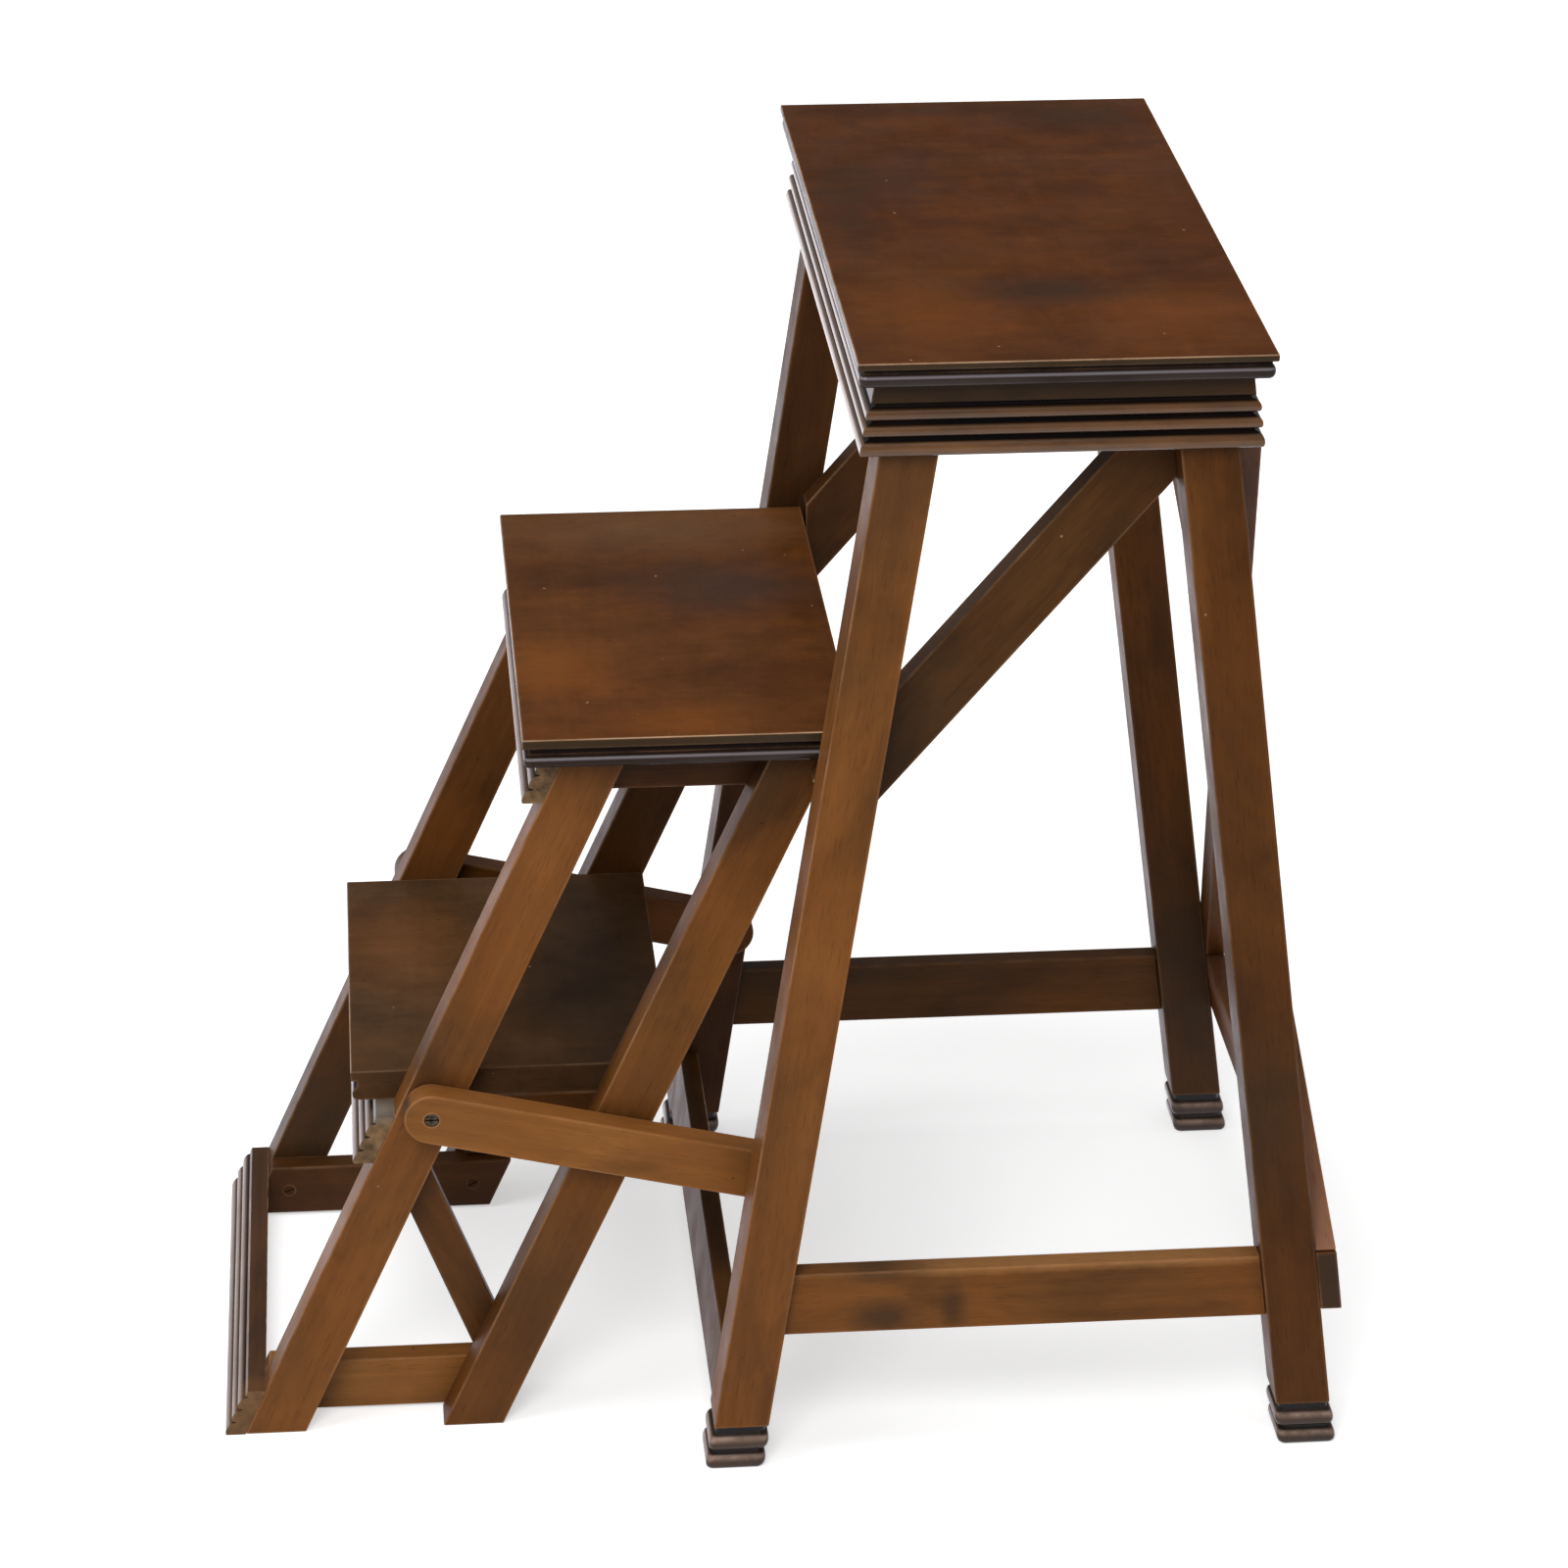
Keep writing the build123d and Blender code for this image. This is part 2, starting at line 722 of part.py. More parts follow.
# Two screws at each end of a runner, level with each other, where it crosses the leg
low_screw_z = upper_tread_underside - runner_low_screw_drop
high_screw_z = seat_underside - runner_high_screw_drop
runner_places = []
for side in (-1, 1):
    for row in (0, 1):
        low_screw_x = runner_low_screw_edge + row * runner_screw_pitch - leg_x(low_screw_z)
        high_screw_x = leg_x(high_screw_z) - runner_high_screw_edge - row * runner_screw_pitch
        runner_places.append(facing_in(low_screw_x, low_screw_z, side, runner_inner_y))
        runner_places.append(facing_in(high_screw_x, high_screw_z, side, runner_inner_y))
front_legs = ["leg_near_front", "leg_far_front"]
back_legs = ["leg_near_back", "leg_far_back"]
runners = ["runner_near", "runner_far"]
place_screws("runner_screws", runner_places, runner_thickness + screw_bite,
             runners + front_legs + back_legs)

back_places = []
for side in (-1, 1):
    for step in (-1, 1):
        middle_z = back_stretcher_bottom + back_stretcher_height / 2
        back_places.append(
            facing_back(side * leg_middle_y, middle_z + step * screw_pitch / 2, back_stretcher_thickness)
        )
place_screws("back_stretcher_screws", back_places, back_stretcher_thickness + screw_bite,
             ["back_stretcher"] + back_legs)

brace_places = []
for end_z, end_y, step in ((brace_low, leg_middle_y, 1), (brace_high, -leg_middle_y, -1)):
    rise = step * screw_pitch
    spot_y = end_y - rise / tan(brace_angle)
    for side in (1, -1):
        brace_places.append(facing_back(side * spot_y, end_z + rise, back_brace_thickness))
place_screws("back_brace_screws", brace_places, back_brace_thickness + screw_bite,
             ["back_brace", "back_brace_cross"] + back_legs)

cleat_places = []
cleat_names = []
cleat_levels = {"upper": upper_cleat_bottom, "lower": lower_cleat_bottom, "floor": floor_cleat_gap}
for level, z_low in cleat_levels.items():
    z = z_low + cleat_height / 2
    for side in (-1, 1):
        for edge in (front_x, rear_x):
            x = edge(z) + stringer_run / 2
            cleat_places.append(facing_in(x, z, side, stringer_inner_y - cleat_thickness))
    cleat_names += [level + "_cleat_near", level + "_cleat_far"]
stringers = ["front_stringer_near", "front_stringer_far", "rear_stringer_near", "rear_stringer_far"]
place_screws("cleat_screws", cleat_places, cleat_thickness + screw_bite, cleat_names + stringers)

unit_brace_places = []
for side in (-1, 1):
    for x, z, step in ((brace_top_x, unit_brace_top, -1), (brace_bottom_x, unit_brace_bottom, 1)):
        rise = step * screw_pitch
        spot_x = x - rise / tan(unit_brace_angle)
        unit_brace_places.append(facing_in(spot_x, z + rise, side, stringer_inner_y - unit_brace_thickness))
place_screws("unit_brace_screws", unit_brace_places, unit_brace_thickness + screw_bite,
             ["unit_brace_near", "unit_brace_far"] + stringers)

# The origin is on the floor, under the middle of the whole object's box
reach = [parts["foot_rail"].bounding_box().min.X, parts["foot_near_back"].bounding_box().max.X]
shift = -(reach[0] + reach[1]) / 2

os.makedirs("parts", exist_ok=True)
for name, piece in parts.items():
    placed = Pos(shift, 0, 0) * piece
    export_step(placed, "parts/" + name + ".step")

print("pieces", len(parts))
print("shift", round(shift, 3))
print("arm pivot", [round(arm_pivot[0] + shift, 3), round(arm_pivot[1], 3)])
print("leg pivot", [round(leg_pivot[0] + shift, 3), round(leg_pivot[1], 3)])
print("arm length", round(arm_length, 3), "tilt", round(arm_tilt, 3))
print("runner tilt", round(runner_tilt, 2))
print("frieze bottom", round(frieze_bottom, 2), "leg at floor", round(leg_x(0), 2))
print("lanes", [round(y, 2) for y in (leg_inner_y, arm_outer_y, stringer_outer_y, stringer_inner_y)])
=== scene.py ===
# %% [markdown]
# # A folding library step stool in polished wood
# The stool is an old one: a splayed frame of plain square bars, flat treads with a cloudy figure,
# and reeded mouldings whose hollows are black with stain and painted shade and whose ridges have
# been rubbed by hands and dusters. The bars already have the right shape in the imported model, so
# most of this lesson is about finish. What is modelled here is what a moulding plane or a
# screwdriver would make: the reeded boards and the slotted screws.

from itertools import count
from math import cos, pi, radians, sin, tan

import bmesh
import bpy
import numpy as np
from mathutils import Matrix, Vector


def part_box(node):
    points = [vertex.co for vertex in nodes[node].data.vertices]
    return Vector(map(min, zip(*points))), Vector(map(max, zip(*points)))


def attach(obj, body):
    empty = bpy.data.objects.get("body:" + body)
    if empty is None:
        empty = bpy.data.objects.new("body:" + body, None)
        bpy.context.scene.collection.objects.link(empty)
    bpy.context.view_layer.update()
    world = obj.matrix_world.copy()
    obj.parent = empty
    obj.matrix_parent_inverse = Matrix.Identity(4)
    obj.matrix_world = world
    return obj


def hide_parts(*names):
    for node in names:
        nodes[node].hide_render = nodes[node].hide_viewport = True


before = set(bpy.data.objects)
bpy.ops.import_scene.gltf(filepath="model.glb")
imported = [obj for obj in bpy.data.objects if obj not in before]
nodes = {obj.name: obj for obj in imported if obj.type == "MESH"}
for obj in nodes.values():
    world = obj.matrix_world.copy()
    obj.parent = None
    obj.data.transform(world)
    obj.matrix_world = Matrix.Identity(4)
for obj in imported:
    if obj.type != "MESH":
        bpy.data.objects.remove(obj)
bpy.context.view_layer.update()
MM = 0.001


def put(name, data):
    """An object in the scene, at the origin."""
    made = bpy.data.objects.new(name, data)
    bpy.context.scene.collection.objects.link(made)
    return made


# %% [markdown]
# ## Camera
# The photograph was taken from the near end of the treads, well above the seat, with a long lens.
# A long lens keeps far edges almost parallel, so the camera stands about three metres away. The
# place and the three turns below came from fitting the treads' corners and the legs' edges.

# %% Stand the camera where the photographer stood
PHOTO_SIDE_PX = 1600
SENSOR_MM = 36.0
camera_place = Vector((-0.2496, -2.7374, 1.707))
camera_yaw = 0.09662
camera_pitch = 0.4497
camera_roll = -0.010656
focal_px = 4804.85

look = Vector(
    (
        sin(camera_yaw) * cos(camera_pitch),
        cos(camera_yaw) * cos(camera_pitch),
        -sin(camera_pitch),
    )
)
level_right = Vector((cos(camera_yaw), -sin(camera_yaw), 0.0))
level_down = -level_right.cross(look)
right = cos(camera_roll) * level_right + sin(camera_roll) * level_down
down = -sin(camera_roll) * level_right + cos(camera_roll) * level_down

camera_data = bpy.data.cameras.new("photo_camera")
camera_data.sensor_width = SENSOR_MM
camera_data.lens = focal_px / PHOTO_SIDE_PX * SENSOR_MM
camera = put("photo_camera", camera_data)
camera_turn = Matrix((right, -down, -look)).transposed().to_4x4()
camera.matrix_world = Matrix.Translation(camera_place) @ camera_turn
bpy.context.scene.camera = camera
bpy.context.scene.view_settings.view_transform = "Standard"
print("lens mm", round(camera_data.lens, 1))

# %% [markdown]
# ## Two small helpers for node trees
# Every shape and every finish below is a graph of nodes. A helper that adds a node, sets its values
# and links its inputs in one line keeps each graph short enough to read. Shader graphs and geometry
# graphs are wired in the same way, so both helpers share one parent. The graph at hand is called g.


# %% Wiring that both kinds of tree share
class Wiring:
    """A node tree, with one call for each node."""

    prefix = ""

    def __init__(self, tree):
        self.tree = tree
        tree.nodes.clear()

    def add(self, kind, settings=None, **inputs):
        """Adds a node. An input is named, or i0, i1 and so on by its place."""
        whole = kind.startswith(("Shader", "Geometry", "Function", "Node"))
        node = self.tree.nodes.new(kind if whole else self.prefix + kind)
        for key, value in (settings or {}).items():
            setattr(node, key, value)
        for key, value in inputs.items():
            if key[0] == "i" and key[1:].isdigit():
                target = node.inputs[int(key[1:])]
            else:
                label = key.replace("_", " ")
                target = next(s for s in node.inputs if s.name == label and s.enabled)
            self.plug(target, value)
        return node

    def out(self, kind, settings=None, **inputs):
        """Adds a node and gives its first output."""
        return self.add(kind, settings, **inputs).outputs[0]

    def plug(self, target, value):
        """Links a socket to a socket, or gives it a plain value."""
        for source in value if isinstance(value, list) else [value]:
            if isinstance(source, bpy.types.NodeSocket):
                self.tree.links.new(source, target)
            elif target.type == "RGBA" and len(source) == 3:
                target.default_value = (*source, 1.0)
            else:
                target.default_value = source

    def math(self, operation, a, b=0.0, clamp=False):
        settings = {"operation": operation, "use_clamp": clamp}
        return self.out("ShaderNodeMath", settings, i0=a, i1=b)

    def plus(self, a, b):
        return self.math("ADD", a, b)

    def minus(self, a, b, clamp=False):
        return self.math("SUBTRACT", a, b, clamp)

    def times(self, first, *others):
        """The product of two values or more."""
        for other in others:
            first = self.math("MULTIPLY", first, other)
        return first

    def vector(self, operation, a, b=(0.0, 0.0, 0.0)):
        node = self.add("ShaderNodeVectorMath", {"operation": operation}, i0=a, i1=b)
        return node.outputs[1] if operation in ("LENGTH", "DOT_PRODUCT") else node.outputs[0]

    def scaled(self, a, factor):
        node = self.add("ShaderNodeVectorMath", {"operation": "SCALE"}, i0=a, Scale=factor)
        return node.outputs[0]

    def parts_of(self, vector):
        return self.add("ShaderNodeSeparateXYZ", i0=vector).outputs

    def noise(self, vector, scale, detail=3.0, roughness=0.5, distortion=0.0):
        inputs = {"Vector": vector, "Scale": scale, "Detail": detail}
        return self.out(
            "ShaderNodeTexNoise", Roughness=roughness, Distortion=distortion, **inputs
        )


# %% A helper for finishes
class Finish(Wiring):
    """A material's node tree."""

    prefix = "ShaderNode"

    def __init__(self, name):
        self.material = bpy.data.materials.new(name)
        self.material.use_nodes = True
        super().__init__(self.material.node_tree)
        self.place = self.add("TexCoord").outputs["Object"]

    def normal(self):
        return self.add("NewGeometry").outputs["Normal"]

    def kept(self, label):
        """Reads a value that a recipe kept."""
        return self.add("Attribute", {"attribute_name": label}).outputs["Fac"]

    def ramp(self, factor, *stops):
        """A colour ramp. Each stop is a position and a grey value or a colour."""
        node = self.add("ValToRGB", i0=factor)
        elements = node.color_ramp.elements
        while len(elements) < len(stops):
            elements.new(0.5)
        for element, (position, colour) in zip(elements, stops):
            element.position = position
            grey = isinstance(colour, (int, float))
            element.color = (colour, colour, colour, 1.0) if grey else (*colour, 1.0)
        return node.outputs[0]

    def grained(self, along, pattern, *shape):
        """Noise drawn out along the grain. Shape is its detail, roughness and distortion."""
        stretched = self.vector("MULTIPLY", along, (pattern[0], pattern[1], pattern[1]))
        return self.noise(stretched, 1.0, *shape)

    def patches(self, scale, *stops, roughness=0.6):
        """Uneven patches, so many a metre."""
        return self.ramp(self.noise(self.place, scale, 4.0, roughness), *stops)

    def mix(self, factor, a, b, blend="MIX"):
        node = self.add("Mix", {"data_type": "RGBA", "blend_type": blend})
        for index, value in ((0, factor), (6, a), (7, b)):
            self.plug(node.inputs[index], value)
        return node.outputs[2]

    def stain(self, colour, amount, pattern, *stops):
        """Multiplies a colour by a pattern."""
        return self.mix(amount, colour, self.ramp(pattern, *stops), "MULTIPLY")

    def close(self, **shader):
        """Ends the tree in one principled shader."""
        surface = self.add("BsdfPrincipled", **shader)
        self.add("OutputMaterial", Surface=surface.outputs[0])
        return self.material


# %% A helper for shapes
SOCKET_KINDS = {float: "Float", int: "Int", tuple: "Vector", str: "Material"}


class Recipe(Wiring):
    """A Geometry Nodes tree with named sizes as its inputs."""

    prefix = "GeometryNode"

    def __init__(self, name, **sizes):
        group = bpy.data.node_groups.new(name, "GeometryNodeTree")
        super().__init__(group)
        face = group.interface
        face.new_socket("Start", in_out="INPUT", socket_type="NodeSocketGeometry")
        for label, value in sizes.items():
            kind = "NodeSocket" + SOCKET_KINDS[type(value)]
            item = face.new_socket(label, in_out="INPUT", socket_type=kind)
            if not isinstance(value, str):
                item.default_value = value
        face.new_socket("Result", in_out="OUTPUT", socket_type="NodeSocketGeometry")
        self.given = self.add("NodeGroupInput").outputs

    def named(self, label, kind="FLOAT"):
        """Reads a value that was kept on the points."""
        return self.out("InputNamedAttribute", {"data_type": kind}, Name=label)

    def sample(self, geometry, value, index, kind="FLOAT"):
        settings = {"data_type": kind, "domain": "POINT"}
        node = self.add("SampleIndex", settings, Geometry=geometry, Value=value, Index=index)
        return node.outputs[0]

    def close(self, geometry, sharp_angle):
        """Shades the shape, makes its instances real, and gives it its material."""
        soft = self.out("SetShadeSmooth", Geometry=geometry, Shade_Smooth=True)
        angle = self.out("InputMeshEdgeAngle")
        sharp = self.math("GREATER_THAN", angle, sharp_angle)
        crisp = self.out(
            "SetShadeSmooth", {"domain": "EDGE"}, Geometry=soft, Selection=sharp, Shade_Smooth=False
        )
        real = self.out("RealizeInstances", Geometry=crisp)
        made = self.out("SetMaterial", Geometry=real, Material=self.given["Finish"])
        self.add("NodeGroupOutput", Result=made)

    def make(self, name, start, **sizes):
        """Runs the recipe once and keeps its result as a plain mesh."""
        piece = put(name, start)
        modifier = piece.modifiers.new("recipe", "NODES")
        modifier.node_group = self.tree
        for item in self.tree.interface.items_tree:
            if item.in_out == "INPUT" and item.name in sizes:
                modifier[item.identifier] = sizes[item.name]
        graph = bpy.context.evaluated_depsgraph_get()
        mesh = bpy.data.meshes.new_from_object(
            piece.evaluated_get(graph), preserve_all_data_layers=True, depsgraph=graph
        )
        piece.modifiers.remove(modifier)
        piece.data = mesh
        shell = bmesh.new()
        shell.from_mesh(mesh)
        bmesh.ops.recalc_face_normals(shell, faces=shell.faces)
        shell.to_mesh(mesh)
        shell.free()
        return piece


# %% [markdown]
# ## Polished wood
# French-polished wood is a stained, slightly cloudy base under a thin clear skin. Most layers of
# the recipe are things that happen to such wood: broad clouds of stain, faint growth lines along the
# grain, short dark pores, arrises rubbed pale, dirt and dark wax in the angles, and the odd pinhole
# or chip. The darkening in the angles is also painted shade, where the parts shut out the light.
# The grain has to run along each bar, so each piece gets coordinates turned to its own length.
# Turning them costs nothing, where UV maps for fifty pieces would be a day's work. The skin is an
# old and thin one, so its specular level is low. That keeps the wood dark and red-brown where a
# fresh varnish would throw a white haze over it.

# %% Colours that every wood shares
PALE_RUB = (0.4, 0.26, 0.16)
# Dark wax in the angles, which also serves as painted shade there.
DARK_WAX_AND_SHADE = (0.01, 0.007, 0.005)
# The black of ebonised wood and stained hollows, which also stands in for the shade in the hollows.
BLACK_STAIN_AND_SHADE = (0.005, 0.0042, 0.0048)
PINHOLE = (0.02, 0.012, 0.008)
END_BROWN = (0.04, 0.024, 0.014)
SPECK = (0.34, 0.23, 0.14)
GREYED = (0.52, 0.56, 0.62)
COOL, REDDENED = (0.94, 1.0, 1.1), (1.0, 0.93, 0.8)

# %% Patterns of bars and boards, as cycles a metre along and across the grain
BAR_CLOUDS = (6.0, 13.0)
BOARD_CLOUDS = (9.0, 10.5)
SMOKE_DRIFTS = (8.0, 15.0)
GROWTH_LINES = (2.6, 140.0)
RIPPLES = (60.0, 5.0)
CURLS = (16.0, 11.0)
MOTTLING = (24.0, 34.0)
PORES = (70.0, 1300.0)
SPOTS_A_METRE = 42.0

# %% The layers that every wood shares
X_AXIS = Vector((1.0, 0.0, 0.0))
BOARD_SHIFT = (1.37, 0.71, 2.13)
BAR_ARRIS = 0.0024
GRIME_AND_SHADE_REACH = 0.03
PORE_RELIEF = 0.0004
TREAD_COAT = 0.14
wood_numbers = count(1)


def grain_coordinates(g, grain):
    """Object coordinates turned so that X runs along the grain, different for each piece."""
    number = next(wood_numbers)
    turn = Vector(grain).normalized().rotation_difference(X_AXIS).to_euler()
    shift = tuple(step * number for step in BOARD_SHIFT)
    return g.out("Mapping", Vector=g.place, Location=shift, Rotation=turn)


def worn_edges(g, radius):
    """How sharply the surface turns within a radius: 1 on an arris, 0 on a flat."""
    smooth_normal = g.out("Bevel", {"samples": 4}, Radius=radius)
    face_normal = g.normal()
    facing = g.vector("DOT_PRODUCT", smooth_normal, face_normal)
    return g.ramp(g.minus(1.0, facing), (0.02, 0.0), (0.16, 1.0))


def blotch(g, colour, centre, radii, tint, strength):
    """A soft-edged cloud of stain at one place, given in millimetres."""
    offset = g.vector("SUBTRACT", g.place, tuple(v * MM for v in centre))
    distance = g.vector("LENGTH", g.vector("DIVIDE", offset, tuple(v * MM for v in radii)))
    ragged = g.plus(distance, g.times(g.noise(g.place, 34.0, 4.0, 0.6), 0.9))
    inside = g.ramp(g.times(ragged, 0.5), (0.35, 1.0), (0.85, 0.0))
    return g.mix(g.times(inside, strength), colour, tint)


def polished_wood(
    name, tone, grain, gloss=0.42, level=0.1, cloud=0.5, rub=0.5, figure=0.0, dirt=0.55,
    speckle=0.1, blotches=(), edge=None, end_stain=0.85, smoky=0.8, streak=0.6,
):
    """A stained and polished wood. Tone is its light and dark colour, grain its direction."""
    light, dark = tone
    g = Finish(name)
    along = grain_coordinates(g, grain)

    spread = 0.35 * (1.0 - 0.6 * cloud)
    clouds = g.grained(along, BOARD_CLOUDS if figure > 0.0 else BAR_CLOUDS, 5.0, 0.62, 0.6)
    colour = g.mix(g.ramp(clouds, (0.5 - spread, 0.0), (0.5 + spread, 1.0)), dark, light)
    smoke = g.grained(along, SMOKE_DRIFTS, 3.0, 0.55, 0.9)
    colour = g.stain(colour, smoky, smoke, (0.5, 1.0), (0.72, GREYED))
    warm = g.noise(g.place, 6.5, 2.0)
    colour = g.stain(colour, 0.8, warm, (0.35, REDDENED), (0.65, COOL))

    lines = g.grained(along, GROWTH_LINES, 4.0, 0.6, 0.35)
    colour = g.stain(colour, streak, lines, (0.32, 0.74), (0.66, 1.06))
    if figure > 0.0:
        ripple = g.grained(along, RIPPLES, 4.0, 0.6, 1.1)
        colour = g.stain(colour, figure, ripple, (0.32, 0.66), (0.68, 1.1))
        curl = g.grained(along, CURLS, 2.0, 0.5, 2.6)
        colour = g.stain(colour, figure, curl, (0.46, 1.0), (0.5, 0.86), (0.54, 1.0))
        mottle = g.grained(along, MOTTLING, 5.0, 0.7, 0.5)
        colour = g.stain(colour, 0.8, mottle, (0.36, 0.8), (0.64, 1.16))
    for centre, radii, tint, strength in blotches:
        colour = blotch(g, colour, centre, radii, tint, strength)

    normal = g.normal()
    across = g.vector("DOT_PRODUCT", normal, tuple(Vector(grain).normalized()))
    end_grain = g.ramp(g.math("ABSOLUTE", across), (0.86, 0.0), (0.97, 1.0))
    colour = g.mix(g.times(end_grain, end_stain), colour, END_BROWN)

    pores = g.grained(along, PORES, 2.0, 0.5)
    pores = g.ramp(pores, (0.58, 0.0), (0.72, 1.0))
    pore_colour = tuple(channel * 0.4 for channel in dark)
    colour = g.mix(g.times(pores, 0.4), colour, pore_colour)

    # Dark wax, dirt and painted shade in the angles, from ambient occlusion.
    angle = g.add("AmbientOcclusion", {"samples": 6}, Distance=GRIME_AND_SHADE_REACH).outputs["AO"]
    grime_and_shade = g.ramp(angle, (0.15, 1.0), (0.9, 0.0))
    ragged = g.patches(46.0, (0.25, 0.55), (0.75, 1.0))
    grime_and_shade = g.times(grime_and_shade, ragged, dirt)
    colour = g.mix(grime_and_shade, colour, DARK_WAX_AND_SHADE)

    if edge is not None:
        colour, edge_mask, edge_polish = edge(g, colour)

    arris = worn_edges(g, BAR_ARRIS)
    patchy = g.patches(30.0, (0.32, 0.15), (0.6, 1.0))
    worn = g.times(arris, patchy, rub)
    rubbed_tone = tuple(0.6 * pale + 0.9 * own for pale, own in zip(PALE_RUB, light))
    colour = g.mix(worn, colour, rubbed_tone)

    spots = g.add("TexVoronoi", {"feature": "F1"}, Vector=along, Scale=SPOTS_A_METRE).outputs
    pick = g.parts_of(spots["Color"])[0]
    tiny = g.ramp(spots["Distance"], (0.026, 1.0), (0.044, 0.0))
    holes = g.times(tiny, g.math("GREATER_THAN", pick, 0.62))
    flecks = g.times(tiny, g.math("LESS_THAN", pick, speckle))
    colour = g.mix(g.times(holes, 0.75), colour, PINHOLE)
    colour = g.mix(g.times(flecks, 0.7), colour, SPECK)

    haze = g.noise(g.place, 26.0, 4.0, 0.6)
    roughness = g.out(
        "MapRange", Value=haze, From_Min=0.3, From_Max=0.7, To_Min=gloss - 0.07, To_Max=gloss + 0.11
    )
    if edge is not None:
        roughness = g.minus(roughness, g.times(edge_mask, 0.1))
    height = g.minus(g.times(haze, 0.35), g.times(pores, 0.25))
    bump = g.out("Bump", Strength=0.35, Distance=PORE_RELIEF, Height=height)
    skin = {"Base_Color": colour, "Roughness": roughness, "Normal": bump}
    if edge is not None:
        skin.update(Coat_Weight=edge_polish, Coat_Roughness=TREAD_COAT)
    return g.close(Specular_IOR_Level=level, **skin)


# %% [markdown]
# ## Where each piece's grain runs
# A joiner cuts every bar with the grain along it. The legs splay eight degrees, the step unit's
# stringers lean about twenty-four, and the treads' boards run from the near end to the far end.
# The boards were never a perfect match, so each family of bars has a tone of its own. The near
# bars have the warmest tones, and the far bars and those inside the frame have darker ones, which
# paint part of the shade that they stand in.

# %% Grain directions
SPLAY = radians(8.0)
LEAN = radians(23.85)
ACROSS = (0.0, 1.0, 0.0)
LENGTHWAYS = (1.0, 0.0, 0.0)
front_leg_grain = (sin(SPLAY), 0.0, cos(SPLAY))
back_leg_grain = (-sin(SPLAY), 0.0, cos(SPLAY))
stringer_grain = (sin(LEAN), 0.0, cos(LEAN))


def middle_line(node, rising):
    """The direction of a slanted bar, from the box round it."""
    low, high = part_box(node)
    span = high - low
    return (span.x, 0.0, span.z if rising else -span.z)


grains = {
    "leg_front": front_leg_grain,
    "leg_back": back_leg_grain,
    "side_stretcher": LENGTHWAYS,
    "front_stretcher": ACROSS,
    "back_stretcher": ACROSS,
    "runner": middle_line("runner_near", True),
    "arm": (0.9727, 0.0, -0.2321),
    "cleat": LENGTHWAYS,
    "unit_brace": middle_line("unit_brace_near", False),
    "back_brace_cross": (-0.11, 0.58, 0.8),
    "back_brace": (-0.11, -0.58, 0.8),
    "stringer": stringer_grain,
}

# %% Tones, each a light and a dark colour
WARM = ((0.258, 0.093, 0.02), (0.13, 0.047, 0.0115))
HONEY = ((0.325, 0.125, 0.028), (0.178, 0.069, 0.017))
BROWN = ((0.205, 0.072, 0.014), (0.1, 0.037, 0.0085))
RUSSET = ((0.148, 0.048, 0.0075), (0.07, 0.024, 0.005))
CHESTNUT = ((0.17, 0.058, 0.011), (0.082, 0.0295, 0.0068))
WHEAT = ((0.315, 0.13, 0.033), (0.172, 0.071, 0.0195))
AUBURN = ((0.13, 0.043, 0.0068), (0.061, 0.0213, 0.0046))
TAWNY = ((0.246, 0.085, 0.0165), (0.12, 0.044, 0.01))
# The three tones below are darkened for the far and inner bars, as painted shade.
DIM_PAINTED_SHADE = ((0.15, 0.052, 0.0105), (0.07, 0.0245, 0.0065))
PAINTED_SHADE_TONE = ((0.1, 0.035, 0.007), (0.046, 0.0165, 0.0045))
INNER_PAINTED_SHADE = ((0.128, 0.048, 0.01), (0.057, 0.0225, 0.0065))
SEAT = ((0.114, 0.031, 0.004), (0.058, 0.0175, 0.0036))
UPPER_TREAD = ((0.14, 0.044, 0.009), (0.069, 0.024, 0.0072))
LOWER_TREAD = ((0.11, 0.051, 0.0205), (0.06, 0.0295, 0.0133))
# A dark stain, which also serves as painted shade where bars pass into shadow.
STAIN_AND_SHADE = (0.03, 0.019, 0.01)
GOLDEN = (0.3, 0.108, 0.02)
# A painted pinkish sheen, standing in for the reflection on the back bars' faces.
PAINTED_PINK_SHEEN = (0.48, 0.25, 0.18)
# Painted light on top faces that the light from above falls on.
PALE_GOLD_PAINTED_LIGHT = (0.42, 0.2, 0.07)

tones = {
    "leg_near_front": WARM,
    "leg_near_back": AUBURN,
    "leg_far_back": DIM_PAINTED_SHADE,
    "leg_far": PAINTED_SHADE_TONE,
    "side_stretcher_near": TAWNY,
    "side_stretcher_far": INNER_PAINTED_SHADE,
    "front_stretcher": INNER_PAINTED_SHADE,
    "back_stretcher": RUSSET,
    "back_brace_cross": BROWN,
    "back_brace": RUSSET,
    "runner_near": INNER_PAINTED_SHADE,
    "runner_far": PAINTED_SHADE_TONE,
    "arm_near": HONEY,
    "arm_far": RUSSET,
    "front_stringer_near": WARM,
    "rear_stringer_near": BROWN,
    "front_stringer_far": CHESTNUT,
    "rear_stringer_far": PAINTED_SHADE_TONE,
    "floor_cleat_near": WHEAT,
    "cleat": PAINTED_SHADE_TONE,
    "unit_brace_near": INNER_PAINTED_SHADE,
    "unit_brace_far": PAINTED_SHADE_TONE,
}
